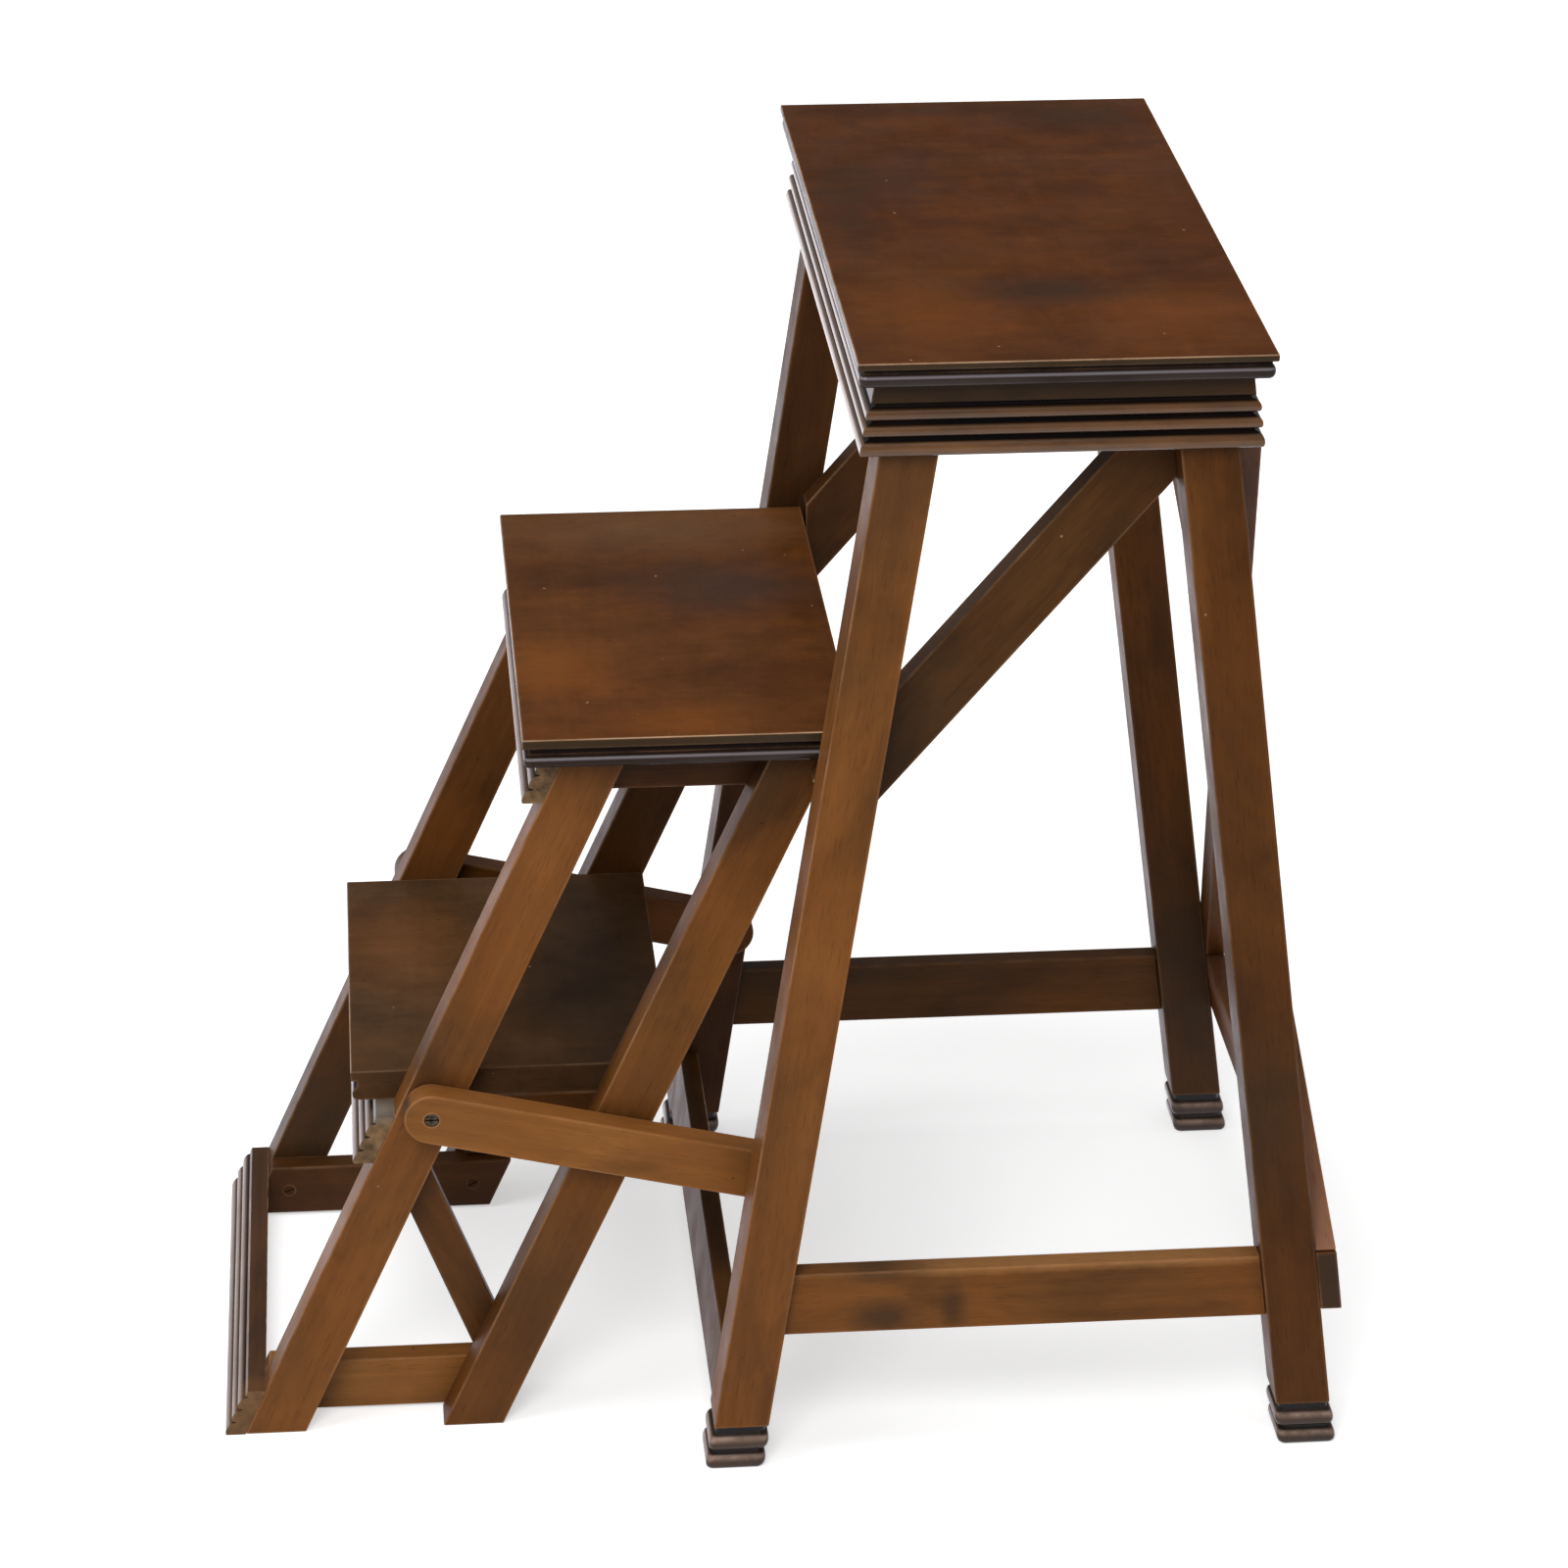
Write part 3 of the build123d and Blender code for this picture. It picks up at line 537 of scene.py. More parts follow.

# %% [markdown]
# An old piece is known by its marks. The near stretcher has dark stains where something once leaked
# on it, some bars are painted darker where they pass into shade, two top faces carry painted pale
# light, the back bars carry a painted pink sheen, and a few faces are lighter in golden patches.
# Each mark has a middle and three radii in millimetres, a tint and a strength, and stands where it
# does on the real stool.

# %% Marks on the bars
blotched = {
    "side_stretcher_near": (
        ((200, -206, 138.5), (190, 40, 5.5), PALE_GOLD_PAINTED_LIGHT, 0.6),
        ((64, -212, 104), (24, 30, 13), STAIN_AND_SHADE, 0.75),
        ((58, -205, 137), (30, 30, 7), STAIN_AND_SHADE, 0.65),
        ((106, -212, 108), (9, 30, 22), STAIN_AND_SHADE, 0.6),
    ),
    # The low dark mark on this stringer is a stain with the painted shadow of the arm and the lower
    # tread over it.
    "front_stringer_near": (
        ((-226, -150, 276), (26, 60, 40), STAIN_AND_SHADE, 0.6),
        ((-70, -150, 470), (60, 60, 40), STAIN_AND_SHADE, 0.45),
        ((-156, -150, 376), (26, 60, 70), GOLDEN, 0.2),
    ),
    "rear_stringer_near": (
        ((-20, -150, 470), (60, 60, 46), STAIN_AND_SHADE, 0.55),
        ((-151, -150, 80), (60, 60, 90), STAIN_AND_SHADE, 0.4),
        ((-30, -150, 340), (30, 60, 60), GOLDEN, 0.35),
    ),
    "leg_near_back": (
        ((298, -219, 250), (50, 60, 60), STAIN_AND_SHADE, 0.45),
        ((232, -219, 560), (14, 60, 110), GOLDEN, 0.3),
    ),
    "runner_near": (((60, -190, 500), (70, 60, 60), STAIN_AND_SHADE, 0.28),),
    "back_stretcher": (((344, 150, 132), (50, 190, 11), PAINTED_PINK_SHEEN, 0.3),),
    "back_brace_cross": (((344, -205, 150), (60, 90, 110), PAINTED_PINK_SHEEN, 0.35),),
    "side_stretcher_far": (((80, 212, 130), (150, 60, 9), STAIN_AND_SHADE, 0.5),),
    "leg_far_back": (
        ((330, 202, 120), (90, 60, 170), STAIN_AND_SHADE, 0.8),
        ((250, 202, 500), (30, 60, 120), GOLDEN, 0.3),
    ),
    "front_stringer_far": (((-300, 150, 50), (60, 60, 100), STAIN_AND_SHADE, 0.8),),
    "floor_cleat_near": (((-190, -125, 62), (90, 40, 5), PALE_GOLD_PAINTED_LIGHT, 0.4),),
    # The dark mark at the top of this leg is painted shade under the seat.
    "leg_near_front": (
        ((50, -219, 680), (60, 60, 90), STAIN_AND_SHADE, 0.45),
        ((23, -219, 400), (40, 60, 110), GOLDEN, 0.3),
        ((-15, -219, 130), (40, 60, 90), STAIN_AND_SHADE, 0.14),
    ),
}


# %% Finish for the bars
def dress(node, material):
    """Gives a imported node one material."""
    slots = nodes[node].data.materials
    slots.clear()
    slots.append(material)
    dressed.add(node)


def first_match(table, node):
    """The first entry whose words are all in the node's name."""
    for words, value in table.items():
        if all(word in node for word in words.split("_")):
            return value
    return None


METAL_WORDS = ("screw", "washer", "spacer")
dressed = set()
for node in sorted(nodes):
    grain = first_match(grains, node)
    if grain is None or any(word in node for word in METAL_WORDS):
        continue
    marks = blotched.get(node, ())
    tone = first_match(tones, node)
    dress(node, polished_wood("wood_" + node, tone, grain, rub=0.9, blotches=marks))
print("bars dressed", len(dressed))

# %% [markdown]
# ## Treads
# The three flat tops are the showpieces. Their boards were picked for a mottled figure, and the
# polish has gone cloudy where people stand. The same wood recipe makes them, with stronger clouds,
# a ripple across the grain, and the largest clouds put where they are on the real boards. The
# darkest cloud on the lower tread is no figure but the painted shadow of the upper tread. Each
# board's edge is a thin band over a hollow that is black with stain and painted shade, and a round
# bead with a painted highlight along it. The three are told apart by height, because each runs
# level all round the board.

# %% The edges of the treads, coloured by height
BAND_BROWN = (0.036, 0.023, 0.011)
BEAD_BROWN = (0.018, 0.012, 0.01)
# A painted highlight band along the upper part of each bead.
PAINTED_BEAD_HIGHLIGHT = (0.19, 0.172, 0.19)
BEAD_GLOSS = 0.6
BAND_GLOSS = 0.25
EDGE_COVER = 0.93
TURNED_FORWARD = -0.3
ARRIS_HEIGHT = 1.1
ARRIS_TOP = 0.3
GROOVE_FADE = 0.8
GLOSS_FADE = 0.5
LINE_FOOT, LINE_TOP = 1.9, 1.3


def edge_by_height(node, bead, groove, front_only=False):
    """Colours the side of a board from its underside up. Sizes are in millimetres."""
    low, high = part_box(node)
    thickness = (high.z - low.z) / MM
    band_top = thickness - ARRIS_HEIGHT

    def marks(height):
        return height / thickness

    # From the underside up: black, the bead's brown, a groove black with stain and painted shade,
    # then the band's brown.
    stops = (
        (0, BLACK_STAIN_AND_SHADE),
        (marks(0.2 * bead), BEAD_BROWN),
        (marks(0.6 * bead), BEAD_BROWN),
        # The painted highlight on the bead.
        (marks(0.74 * bead), PAINTED_BEAD_HIGHLIGHT),
        (marks(0.86 * bead), BEAD_BROWN),
        (marks(bead), BLACK_STAIN_AND_SHADE),
        (marks(bead + groove), BLACK_STAIN_AND_SHADE),
        (marks(bead + groove + GROOVE_FADE), BAND_BROWN),
        (marks(band_top), BAND_BROWN),
    )

    def paint(g, colour):
        z = g.parts_of(g.place)[2]
        share = g.math("DIVIDE", g.minus(z, low.z), thickness * MM)
        side = g.ramp(share, (marks(band_top), 1.0), (marks(thickness - ARRIS_TOP), 0.0))
        if front_only:
            forward = g.parts_of(g.normal())[0]
            side = g.times(side, g.math("LESS_THAN", forward, TURNED_FORWARD))
        colour = g.mix(g.times(side, EDGE_COVER), colour, g.ramp(share, *stops))
        tilt = g.math("ABSOLUTE", g.parts_of(g.normal())[2])
        turned = g.ramp(tilt, (0.2, 0.0), (0.4, 1.0), (0.86, 1.0), (0.975, 0.0))
        at_top = ((marks(thickness - LINE_FOOT), 0.0), (marks(thickness - LINE_TOP), 1.0))
        at_top = g.ramp(share, *at_top)
        uneven = g.patches(30.0, (0.3, 0.35), (0.66, 1.0))
        line = g.times(turned, at_top, uneven)
        painted = g.mix(line, colour, PALE_RUB)
        handled = g.ramp(g.noise(g.place, 9.0, 3.0), (0.38, 0.3), (0.62, 1.0))
        gloss = g.ramp(
            share,
            (0, BEAD_GLOSS),
            (marks(0.9 * bead), BEAD_GLOSS),
            (marks(bead), 0.0),
            (marks(bead + groove), 0.0),
            (marks(bead + groove + GLOSS_FADE), BAND_GLOSS),
        )
        return painted, side, g.times(side, gloss, handled)

    return paint


seat_edge = edge_by_height("seat_board", 9.0, 2.5)
upper_edge = edge_by_height("upper_tread", 8.5, 5.0)
lower_edge = edge_by_height("lower_tread", 8.5, 5.0, front_only=True)

# %% Finish for the treads
SMOKE = (0.032, 0.014, 0.006)
PLUM = (0.04, 0.023, 0.018)
AMBER = (0.24, 0.074, 0.011)
# A dark brown for the painted shadow that the upper tread casts on the lower one.
PAINTED_TREAD_SHADOW = (0.016, 0.0105, 0.0062)
OLIVE = (0.14, 0.075, 0.036)
CLOUD_DEPTH = 40.0
SEAT_TOP, UPPER_TOP, LOWER_TOP = 760.0, 500.0, 251.5


def clouds_on(top, *clouds):
    """Clouds on a board's top. Each has a middle, two radii, a tint and a strength."""
    return [
        ((*middle, top), (*radii, CLOUD_DEPTH), tint, strength)
        for middle, radii, tint, strength in clouds
    ]


seat_clouds = clouds_on(
    SEAT_TOP,
    ((155, -126), (62, 26), SMOKE, 0.82),
    ((215, 203), (70, 34), SMOKE, 0.6),
    ((80, 72), (46, 42), SMOKE, 0.6),
    ((155, 226), (120, 20), SMOKE, 0.5),
    ((50, 40), (26, 130), SMOKE, 0.55),
    ((262, 60), (16, 150), SMOKE, 0.15),
    ((225, -180), (60, 60), AMBER, 0.18),
    ((80, -160), (50, 70), AMBER, 0.22),
)
upper_clouds = clouds_on(
    UPPER_TOP,
    ((-20, 46), (66, 48), PLUM, 0.7),
    ((-104, 66), (60, 26), SMOKE, 0.5),
    ((-60, 150), (120, 50), OLIVE, 0.45),
    ((-137, -72), (36, 46), AMBER, 0.45),
    ((-60, -156), (52, 26), AMBER, 0.3),
)
lower_clouds = clouds_on(
    LOWER_TOP,
    # The painted shadow of the upper tread.
    ((-104, -16), (62, 130), PAINTED_TREAD_SHADOW, 0.62),
    ((-240, 40), (40, 60), AMBER, 0.2),
)
boards = {
    "seat_board": (SEAT, seat_clouds, seat_edge),
    "upper_tread": (UPPER_TREAD, upper_clouds, upper_edge),
    "lower_tread": (LOWER_TREAD, lower_clouds, lower_edge),
}
for node, (tone, clouds, edge) in boards.items():
    wood = polished_wood(
        "figured_" + node, tone, LENGTHWAYS, gloss=0.36, level=0.035, cloud=0.35, rub=0.4,
        figure=0.3, dirt=0.35, speckle=0.6, blotches=clouds, edge=edge, end_stain=0.0,
        smoky=0.35, streak=0.35,
    )
    dress(node, wood)

# %% [markdown]
# ## Reeded boards
# A moulding is one outline pushed along a run. A moulding plane cuts it that way, and so does this
# recipe: it lays a grid of points, gives each column of the grid the outline's points in turn, and
# moves each row along the run. Every point of the outline says for itself how far its run reaches,
# which is all that a mitred corner is. Curve to Mesh could push the outline too, but it thins the
# corners. Two more values are kept on the points for the finish: how deep a point lies in a hollow,
# and how far hands have rubbed it. The cut ends are marked on their faces. A slight wobble keeps
# the reeds from looking like machine work.

# %% The recipe that planes a moulding
WOBBLES_A_METRE = 26.0
WELD = 1e-6
CRISP_ABOVE = radians(38.0)
named_sizes = {"Run": LENGTHWAYS, "Steps": 48, "Wobble": 0.00012, "Seed": 3.0}
g = planing = Recipe("planed_moulding", **named_sizes, Finish="")
start = g.given["Start"]
steps = g.given["Steps"]
corners = g.out("AttributeDomainSize", {"component": "MESH"}, Geometry=start)
around = g.plus(corners, 1.0)
rows = g.plus(steps, 1.0)
grid = g.add("MeshGrid", Vertices_X=rows, Vertices_Y=around).outputs["Mesh"]

index = g.out("InputIndex")
row = g.math("FLOOR", g.math("DIVIDE", g.plus(index, 0.5), around))
column = g.minus(index, g.times(row, around))
column = g.math("MODULO", column, corners)
position = g.out("InputPosition")
spot = g.sample(start, position, column, "FLOAT_VECTOR")
reach = g.sample(start, g.named("reach"), column)
share = g.minus(g.times(g.math("DIVIDE", row, steps), 2.0), 1.0)


def run_to(spot, reach, share):
    """A point of the outline moved along its run, with the plane's wobble."""
    moved = g.vector("ADD", spot, g.scaled(g.given["Run"], g.times(reach, share)))
    values = {"Vector": moved, "W": g.given["Seed"], "Scale": WOBBLES_A_METRE}
    shake = g.add("ShaderNodeTexNoise", {"noise_dimensions": "4D"}, **values)
    shake = g.vector("SUBTRACT", shake.outputs[1], (0.5, 0.5, 0.5))
    shake = g.vector("MULTIPLY", shake, (1.0, 1.0, 0.0))
    return g.vector("ADD", moved, g.scaled(shake, g.given["Wobble"]))


def keep(geometry, label, value, domain):
    """Stores one value on the points or the faces."""
    settings = {"data_type": "FLOAT", "domain": domain}
    return g.out("StoreNamedAttribute", settings, Geometry=geometry, Name=label, Value=value)


skin = grid
for label in ("hollow", "rubbed"):
    value = g.sample(start, g.named(label), column)
    skin = keep(skin, label, value, "POINT")
skin = g.out("SetPosition", Geometry=skin, Position=run_to(spot, reach, share))
shells = [skin]
cut = keep(start, "cut", 1.0, "FACE")
for end in (-1.0, 1.0):
    there = run_to(position, g.named("reach"), end)
    shells.append(g.out("SetPosition", Geometry=cut, Position=there))
joined = g.out("JoinGeometry", Geometry=shells)
welded = g.out("MergeByDistance", Geometry=joined, Distance=WELD)
g.close(welded, CRISP_ABOVE)

# %% [markdown]
# The outline is a list of bands from the bottom up. A reed is a round ridge, a quirk is a narrow
# hollow with a round bottom, and a flat is left a little below the ridges. The quirks are cut
# deeper than in the plain model, because it is their depth that makes them read as black lines.

# %% The outline of a moulding
REED_PROUD = 2.2
REED_SHADE = 0.75
QUIRK_DEPTH = 2.4
POINTS_OF = {"reed": 9, "quirk": 7, "flat": 12}


def reeded(reeds, quirk, flat):
    """Bands of a board: reeds with a quirk above each, and a flat at the top."""
    bands = [((size, "reed", rubbed), (quirk, "quirk", 0.0)) for size, rubbed in reeds]
    return [*sum(bands, ()), (flat, "flat", 0.0)]


def outline(bands, depth):
    """Points of a moulded face: height, distance from the back, hollow and rubbed."""
    root = depth - REED_PROUD
    points = []
    height = 0.0
    for size, kind, rubbed in bands:
        steps_up = POINTS_OF[kind] - 1
        for i in range(steps_up + 1):
            turn = pi * i / steps_up
            swell = sin(turn)
            level = height + size * i / steps_up
            if kind == "reed":
                level = height + size * (1.0 - cos(turn)) / 2
                shade = REED_SHADE * (1.0 - swell) ** 2
                point = (level, root + REED_PROUD * swell, shade, rubbed * swell)
            elif kind == "quirk":
                point = (level, root - QUIRK_DEPTH * swell, 1.0, 0.0)
            else:
                point = (level, root, 0.0, 0.0)
            last = points[-1] if points else None
            if last and abs(last[0] - point[0]) + abs(last[1] - point[1]) < WELD:
                points[-1] = (last[0], last[1], max(last[2], point[2]), 0.0)
            else:
                points.append(point)
        height += size
    return [(0.0, 0.0, 0.0, 0.0)] + points + [(height, 0.0, 0.0, 0.0)]


def planed_board(name, body, bands, depth, place, reach, run, finish, seed):
    """A moulded board. place(h, d) gives a point and reach(h, d) half its run, in metres."""
    rows_of = outline(bands, depth)
    mesh = bpy.data.meshes.new(name)
    mesh.from_pydata([place(h, d) for h, d, _, _ in rows_of], [], [tuple(range(len(rows_of)))])
    for label, values in (
        ("reach", [reach(h, d) for h, d, _, _ in rows_of]),
        ("hollow", [row_of[2] for row_of in rows_of]),
        ("rubbed", [row_of[3] for row_of in rows_of]),
    ):
        mesh.attributes.new(label, "FLOAT", "POINT").data.foreach_set("value", values)
    piece = planing.make(name, mesh, Run=run, Seed=float(seed), Finish=finish)
    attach(piece, body)
    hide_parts(name.replace("planed_", ""))
    print(name, "faces", len(piece.data.polygons))


# %% [markdown]
# The finish reads the values that the recipe kept. Hollows are black, with stain and with painted
# shade, crowns are brown, the crowns that hands reach are rubbed through to a paler wood, and cut
# ends are bare. It is glossier than the bars, since the polish in a moulding is protected, and so
# each reed shows a thin bright line.


# %% The finish of the mouldings
RUBBED_BROWN = (0.21, 0.084, 0.023)
BARE_LIGHT = (0.21, 0.122, 0.052)
BARE_DARK = (0.066, 0.037, 0.016)
REED_CLOUDS = (7.0, 30.0)
REED_LINES = (4.0, 260.0)
HAND_PATCHES = (14.0, 60.0)
DUST_PATCHES = (8.0, 60.0)
POLISH_HAZE = (18.0, 60.0)
REED_ARRIS = 0.0012
HAZE_RELIEF = 0.0003
FADE_TO_BLACK = 0.55
REED_SPECULAR = 0.15
REED_COAT = 0.13


def moulded_wood(name, tone, grain, lustre, marks=(), black_from=0.25):
    """Dark wood with black hollows and rubbed crowns. Lustre is the polish on the crowns."""
    light, dark = tone
    g = Finish(name)
    along = grain_coordinates(g, grain)
    clouds = g.grained(along, REED_CLOUDS, 4.0, 0.6, 0.5)
    clouds = g.ramp(clouds, (0.34, 0.0), (0.66, 1.0))
    colour = g.mix(clouds, dark, light)
    lines = g.grained(along, REED_LINES, 3.0, 0.6)
    colour = g.stain(colour, 0.6, lines, (0.34, 0.7), (0.66, 1.08))

    rubbed = g.kept("rubbed")
    uneven = g.ramp(g.grained(along, HAND_PATCHES, 4.0, 0.65), (0.3, 0.25), (0.7, 1.0))
    colour = g.mix(g.times(rubbed, uneven), colour, RUBBED_BROWN)

    hollow = g.kept("hollow")
    # The deeper a point lies in a hollow, the blacker it is: stain and painted shade.
    black = g.ramp(hollow, (black_from, 0.0), (black_from + FADE_TO_BLACK, 1.0))
    dusty = g.ramp(g.grained(along, DUST_PATCHES, 3.0, 0.6), (0.35, 0.78), (0.65, 1.0))
    colour = g.mix(g.times(black, dusty), colour, BLACK_STAIN_AND_SHADE)
    cut = g.kept("cut")
    bare = g.patches(90.0, (0.35, BARE_DARK), (0.62, BARE_LIGHT), roughness=0.65)
    colour = g.mix(cut, colour, bare)
    for centre, radii, tint, strength in marks:
        colour = blotch(g, colour, centre, radii, tint, strength)
    hollow = g.math("MAXIMUM", hollow, cut)

    arris = worn_edges(g, REED_ARRIS)
    patchy = g.patches(60.0, (0.42, 0.0), (0.64, 1.0))
    chips = g.times(arris, patchy, g.minus(0.55, hollow, True))
    colour = g.mix(chips, colour, PALE_RUB)

    haze = g.grained(along, POLISH_HAZE, 4.0, 0.6)
    roughness = g.add("MapRange", Value=haze, From_Min=0.3, From_Max=0.7, To_Min=0.24, To_Max=0.4)
    bump = g.out("Bump", Strength=0.3, Distance=HAZE_RELIEF, Height=haze)
    skin = {"Base_Color": colour, "Roughness": roughness.outputs[0], "Normal": bump}
    polish = g.times(g.ramp(rubbed, (0.04, 0.0), (0.2, 1.0)), lustre)
    skin.update(Coat_Weight=polish, Coat_Roughness=REED_COAT)
    return g.close(Specular_IOR_Level=REED_SPECULAR, **skin)


# %% [markdown]
# The frieze is four boards mitred round the tops of the legs. The two sides lean out with the legs,
# so the corner moves outwards as it goes down. The lowest ridge is given the palest and glossiest
# crown.

# %% The frieze
frieze_bands = reeded(((8.8, 0.95), (6.8, 0.85), (6.8, 0.6)), quirk=3.4, flat=13.8)
MOULDED = ((0.054, 0.024, 0.0078), (0.025, 0.0122, 0.0047))
FRIEZE_LUSTRE = 0.85
FRIEZE_BLACK_FROM = 0.62
END_THICKNESS = 11.0
SIDE_THICKNESS = 14.0
end_low, end_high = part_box("frieze_end_near")
frieze_bottom = end_low.z / MM
stool_middle = (end_low.x + end_high.x) / 2 / MM
outer_y = -end_low.y / MM - END_THICKNESS
outer_x = (end_high.x - end_low.x) / 2 / MM - SIDE_THICKNESS


def leg_line(height):
    """Distance of the legs' outer faces from the stool's middle, above the frieze's bottom."""
    return outer_x - tan(SPLAY) * height


def end_board(side):
    """Where a board across one end stands, and how far each point of it runs."""
    def place(h, d):
        return (stool_middle * MM, side * (outer_y + d) * MM, (frieze_bottom + h) * MM)

    def reach(h, d):
        return (leg_line(h) + SIDE_THICKNESS - (END_THICKNESS - d)) * MM

    return place, reach


def side_board(side):
    """Where a board along one side stands, and how far each point of it runs."""
    def place(h, d):
        return ((stool_middle + side * (leg_line(h) + d)) * MM, 0.0, (frieze_bottom + h) * MM)

    def reach(h, d):
        return (outer_y + max(END_THICKNESS - (SIDE_THICKNESS - d), 0.0)) * MM

    return place, reach


frieze_boards = {
    "frieze_end_near": (END_THICKNESS, end_board(-1), LENGTHWAYS),
    "frieze_end_far": (END_THICKNESS, end_board(1), LENGTHWAYS),
    "frieze_front": (SIDE_THICKNESS, side_board(-1), ACROSS),
    "frieze_back": (SIDE_THICKNESS, side_board(1), ACROSS),
}
for seed, (node, (depth, (place, reach), run)) in enumerate(frieze_boards.items()):
    finish = moulded_wood(
        "moulded_" + node, MOULDED, run, FRIEZE_LUSTRE, black_from=FRIEZE_BLACK_FROM
    )
    planed_board("planed_" + node, "stool", frieze_bands, depth, place, reach, run, finish, seed)
    dress(node, finish)

# %% [markdown]
# The step unit has three like boards of three reeds: one under each tread and one along the floor.
# They lean with the stringers, and their ends are plain.

# %% The risers and the foot rail
QUIRK = 1.6
REED_PITCH = 9.4
TOP_FLAT = 4.3
riser_reeds = ((REED_PITCH - QUIRK / 2, 0.35), *((REED_PITCH - QUIRK, 0.3),) * 2)
riser_bands = reeded(riser_reeds, QUIRK, TOP_FLAT - QUIRK / 2)
RISER_LUSTRE = 0.2
FIRST_RISER_SEED = 10
# A grey painted sheen for the top of the lower riser's near end.
GREY_PAINTED_SHEEN = (0.17, 0.145, 0.118)
STAINED_END = (0.13, 0.054, 0.014)
MOULDED_RISER = ((0.084, 0.035, 0.013), (0.042, 0.019, 0.008))
riser_marks = {
    # A painted grey sheen on the top of the lower riser's near end.
    "lower_riser": (((-252.0, -147.0, 233.0), (18.0, 16.0, 7.0), GREY_PAINTED_SHEEN, 0.95),),
    "foot_rail": (((-342.0, -150.0, 16.0), (30.0, 12.0, 36.0), STAINED_END, 0.75),),
}
for seed, node in enumerate(("upper_riser", "lower_riser", "foot_rail")):
    low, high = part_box(node)
    back_bottom = high.x / MM - tan(LEAN) * (high.z - low.z) / MM
    riser_reach = high.y
    front = min(tan(LEAN) * h - d for h, d, _, _ in outline(riser_bands, 0.0)[1:-1])
    depth = back_bottom + front - low.x / MM

    def place(h, d):
        return ((back_bottom + tan(LEAN) * h - d) * MM, 0.0, low.z + h * MM)

    marks = riser_marks.get(node, ())
    finish = moulded_wood("moulded_" + node, MOULDED_RISER, ACROSS, RISER_LUSTRE, marks)
    shape = (riser_bands, depth, place, lambda h, d: riser_reach)
    planed_board("planed_" + node, "step_unit", *shape, ACROSS, finish, seed + FIRST_RISER_SEED)
    dress(node, finish)

# %% [markdown]
# ## Feet and glue blocks
# Each leg stands on a small foot with two full beads and a deep waist between them. A bead round a
# square block is a stack of rounded squares that swell and shrink with height, so the foot is built
# ring by ring from a short list of heights. The feet are ebonised wood, scuffed by floors and
# brooms, and the upward shoulders of the beads are painted a pinkish brown that is both the scuffs
# and a painted highlight. The glue blocks under the seat are raw wood that nobody was meant to see.

# %% The outline of a foot, from the floor up
BEAD_PROUD = 1.6
WAIST_INSET = -1.4
LOWER_BEAD = (0.0, 10.8)
UPPER_BEAD = (13.6, 24.6)
FOOT_HEIGHT = 30.0
CORNER_RADIUS = 4.0
PACKED_LOWER_MIDDLE = 4.5
PACKED_RISE = 13.5
BEAD_FULLNESS = 0.7
FOOT_CRISP_ABOVE = radians(50.0)


def bead_rings(low, high, rings=9):
    """Heights and swellings of one bead."""
    for i in range(rings):
        turn = pi * i / (rings - 1)
        swell = WAIST_INSET + (BEAD_PROUD - WAIST_INSET) * sin(turn) ** BEAD_FULLNESS
        yield low + (high - low) * (1.0 - cos(turn)) / 2, swell


foot_rings = [*bead_rings(*LOWER_BEAD), *bead_rings(*UPPER_BEAD), (FOOT_HEIGHT, WAIST_INSET)]


def rounded_square(half_x, half_y, points_each=7):
    """Points round a rectangle with round corners."""
    points = []
    for corner, (sx, sy) in enumerate(((1, 1), (-1, 1), (-1, -1), (1, -1))):
        for i in range(points_each):
            turn = pi / 2 * (corner + i / (points_each - 1))
            x = sx * (half_x - CORNER_RADIUS) + CORNER_RADIUS * cos(turn)
            y = sy * (half_y - CORNER_RADIUS) + CORNER_RADIUS * sin(turn)
            points.append((x, y))
    return points


def beaded_foot(node, finish):
    """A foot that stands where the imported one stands."""
    low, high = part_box(node)
    lean = 1.0 if "front" in node else -1.0
    half_y = (high.y - low.y) / MM / 2 - BEAD_PROUD
    half_x = ((high.x - low.x) / MM - PACKED_RISE * tan(SPLAY)) / 2 - BEAD_PROUD
    lower_x = (low.x if lean > 0 else high.x) / MM + lean * (half_x + BEAD_PROUD)
    middle_y = (low.y + high.y) / MM / 2
    verts, faces = [], []
    for z, swell in foot_rings:
        centre = lower_x + lean * tan(SPLAY) * (z - PACKED_LOWER_MIDDLE)
        for x, y in rounded_square(half_x + swell, half_y + swell):
            verts.append(((centre + x) * MM, (middle_y + y) * MM, z * MM))
    around = len(verts) // len(foot_rings)
    for row in range(len(foot_rings) - 1):
        for i in range(around):
            a, b = row * around + i, row * around + (i + 1) % around
            faces.append((a, b, b + around, a + around))
    faces.append(tuple(reversed(range(around))))
    faces.append(tuple(range(len(verts) - around, len(verts))))
    mesh = bpy.data.meshes.new("beaded_" + node)
    mesh.from_pydata(verts, [], faces)
    mesh.shade_smooth()
    mesh.set_sharp_from_angle(angle=FOOT_CRISP_ABOVE)
    mesh.materials.append(finish)
    piece = put("beaded_" + node, mesh)
    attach(piece, "stool")
    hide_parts(node)
    print(piece.name, "faces", len(faces))


# %% Finish for the feet and the blocks
FOOT = ((0.088, 0.052, 0.036), (0.036, 0.0235, 0.017))
SCUFF_AND_HIGHLIGHT = (0.38, 0.255, 0.195)
SCUFF_AND_HIGHLIGHT_COVER = 0.8
LOWER_BROWN = ((0.0, 0.3), (0.08, 1.0), (0.31, 1.0), (0.37, 0.0))
UPPER_BROWN = ((0.45, 0.0), (0.51, 1.0), (0.77, 1.0), (0.83, 0.0))
RAW = ((0.15, 0.08, 0.036), (0.085, 0.044, 0.02))


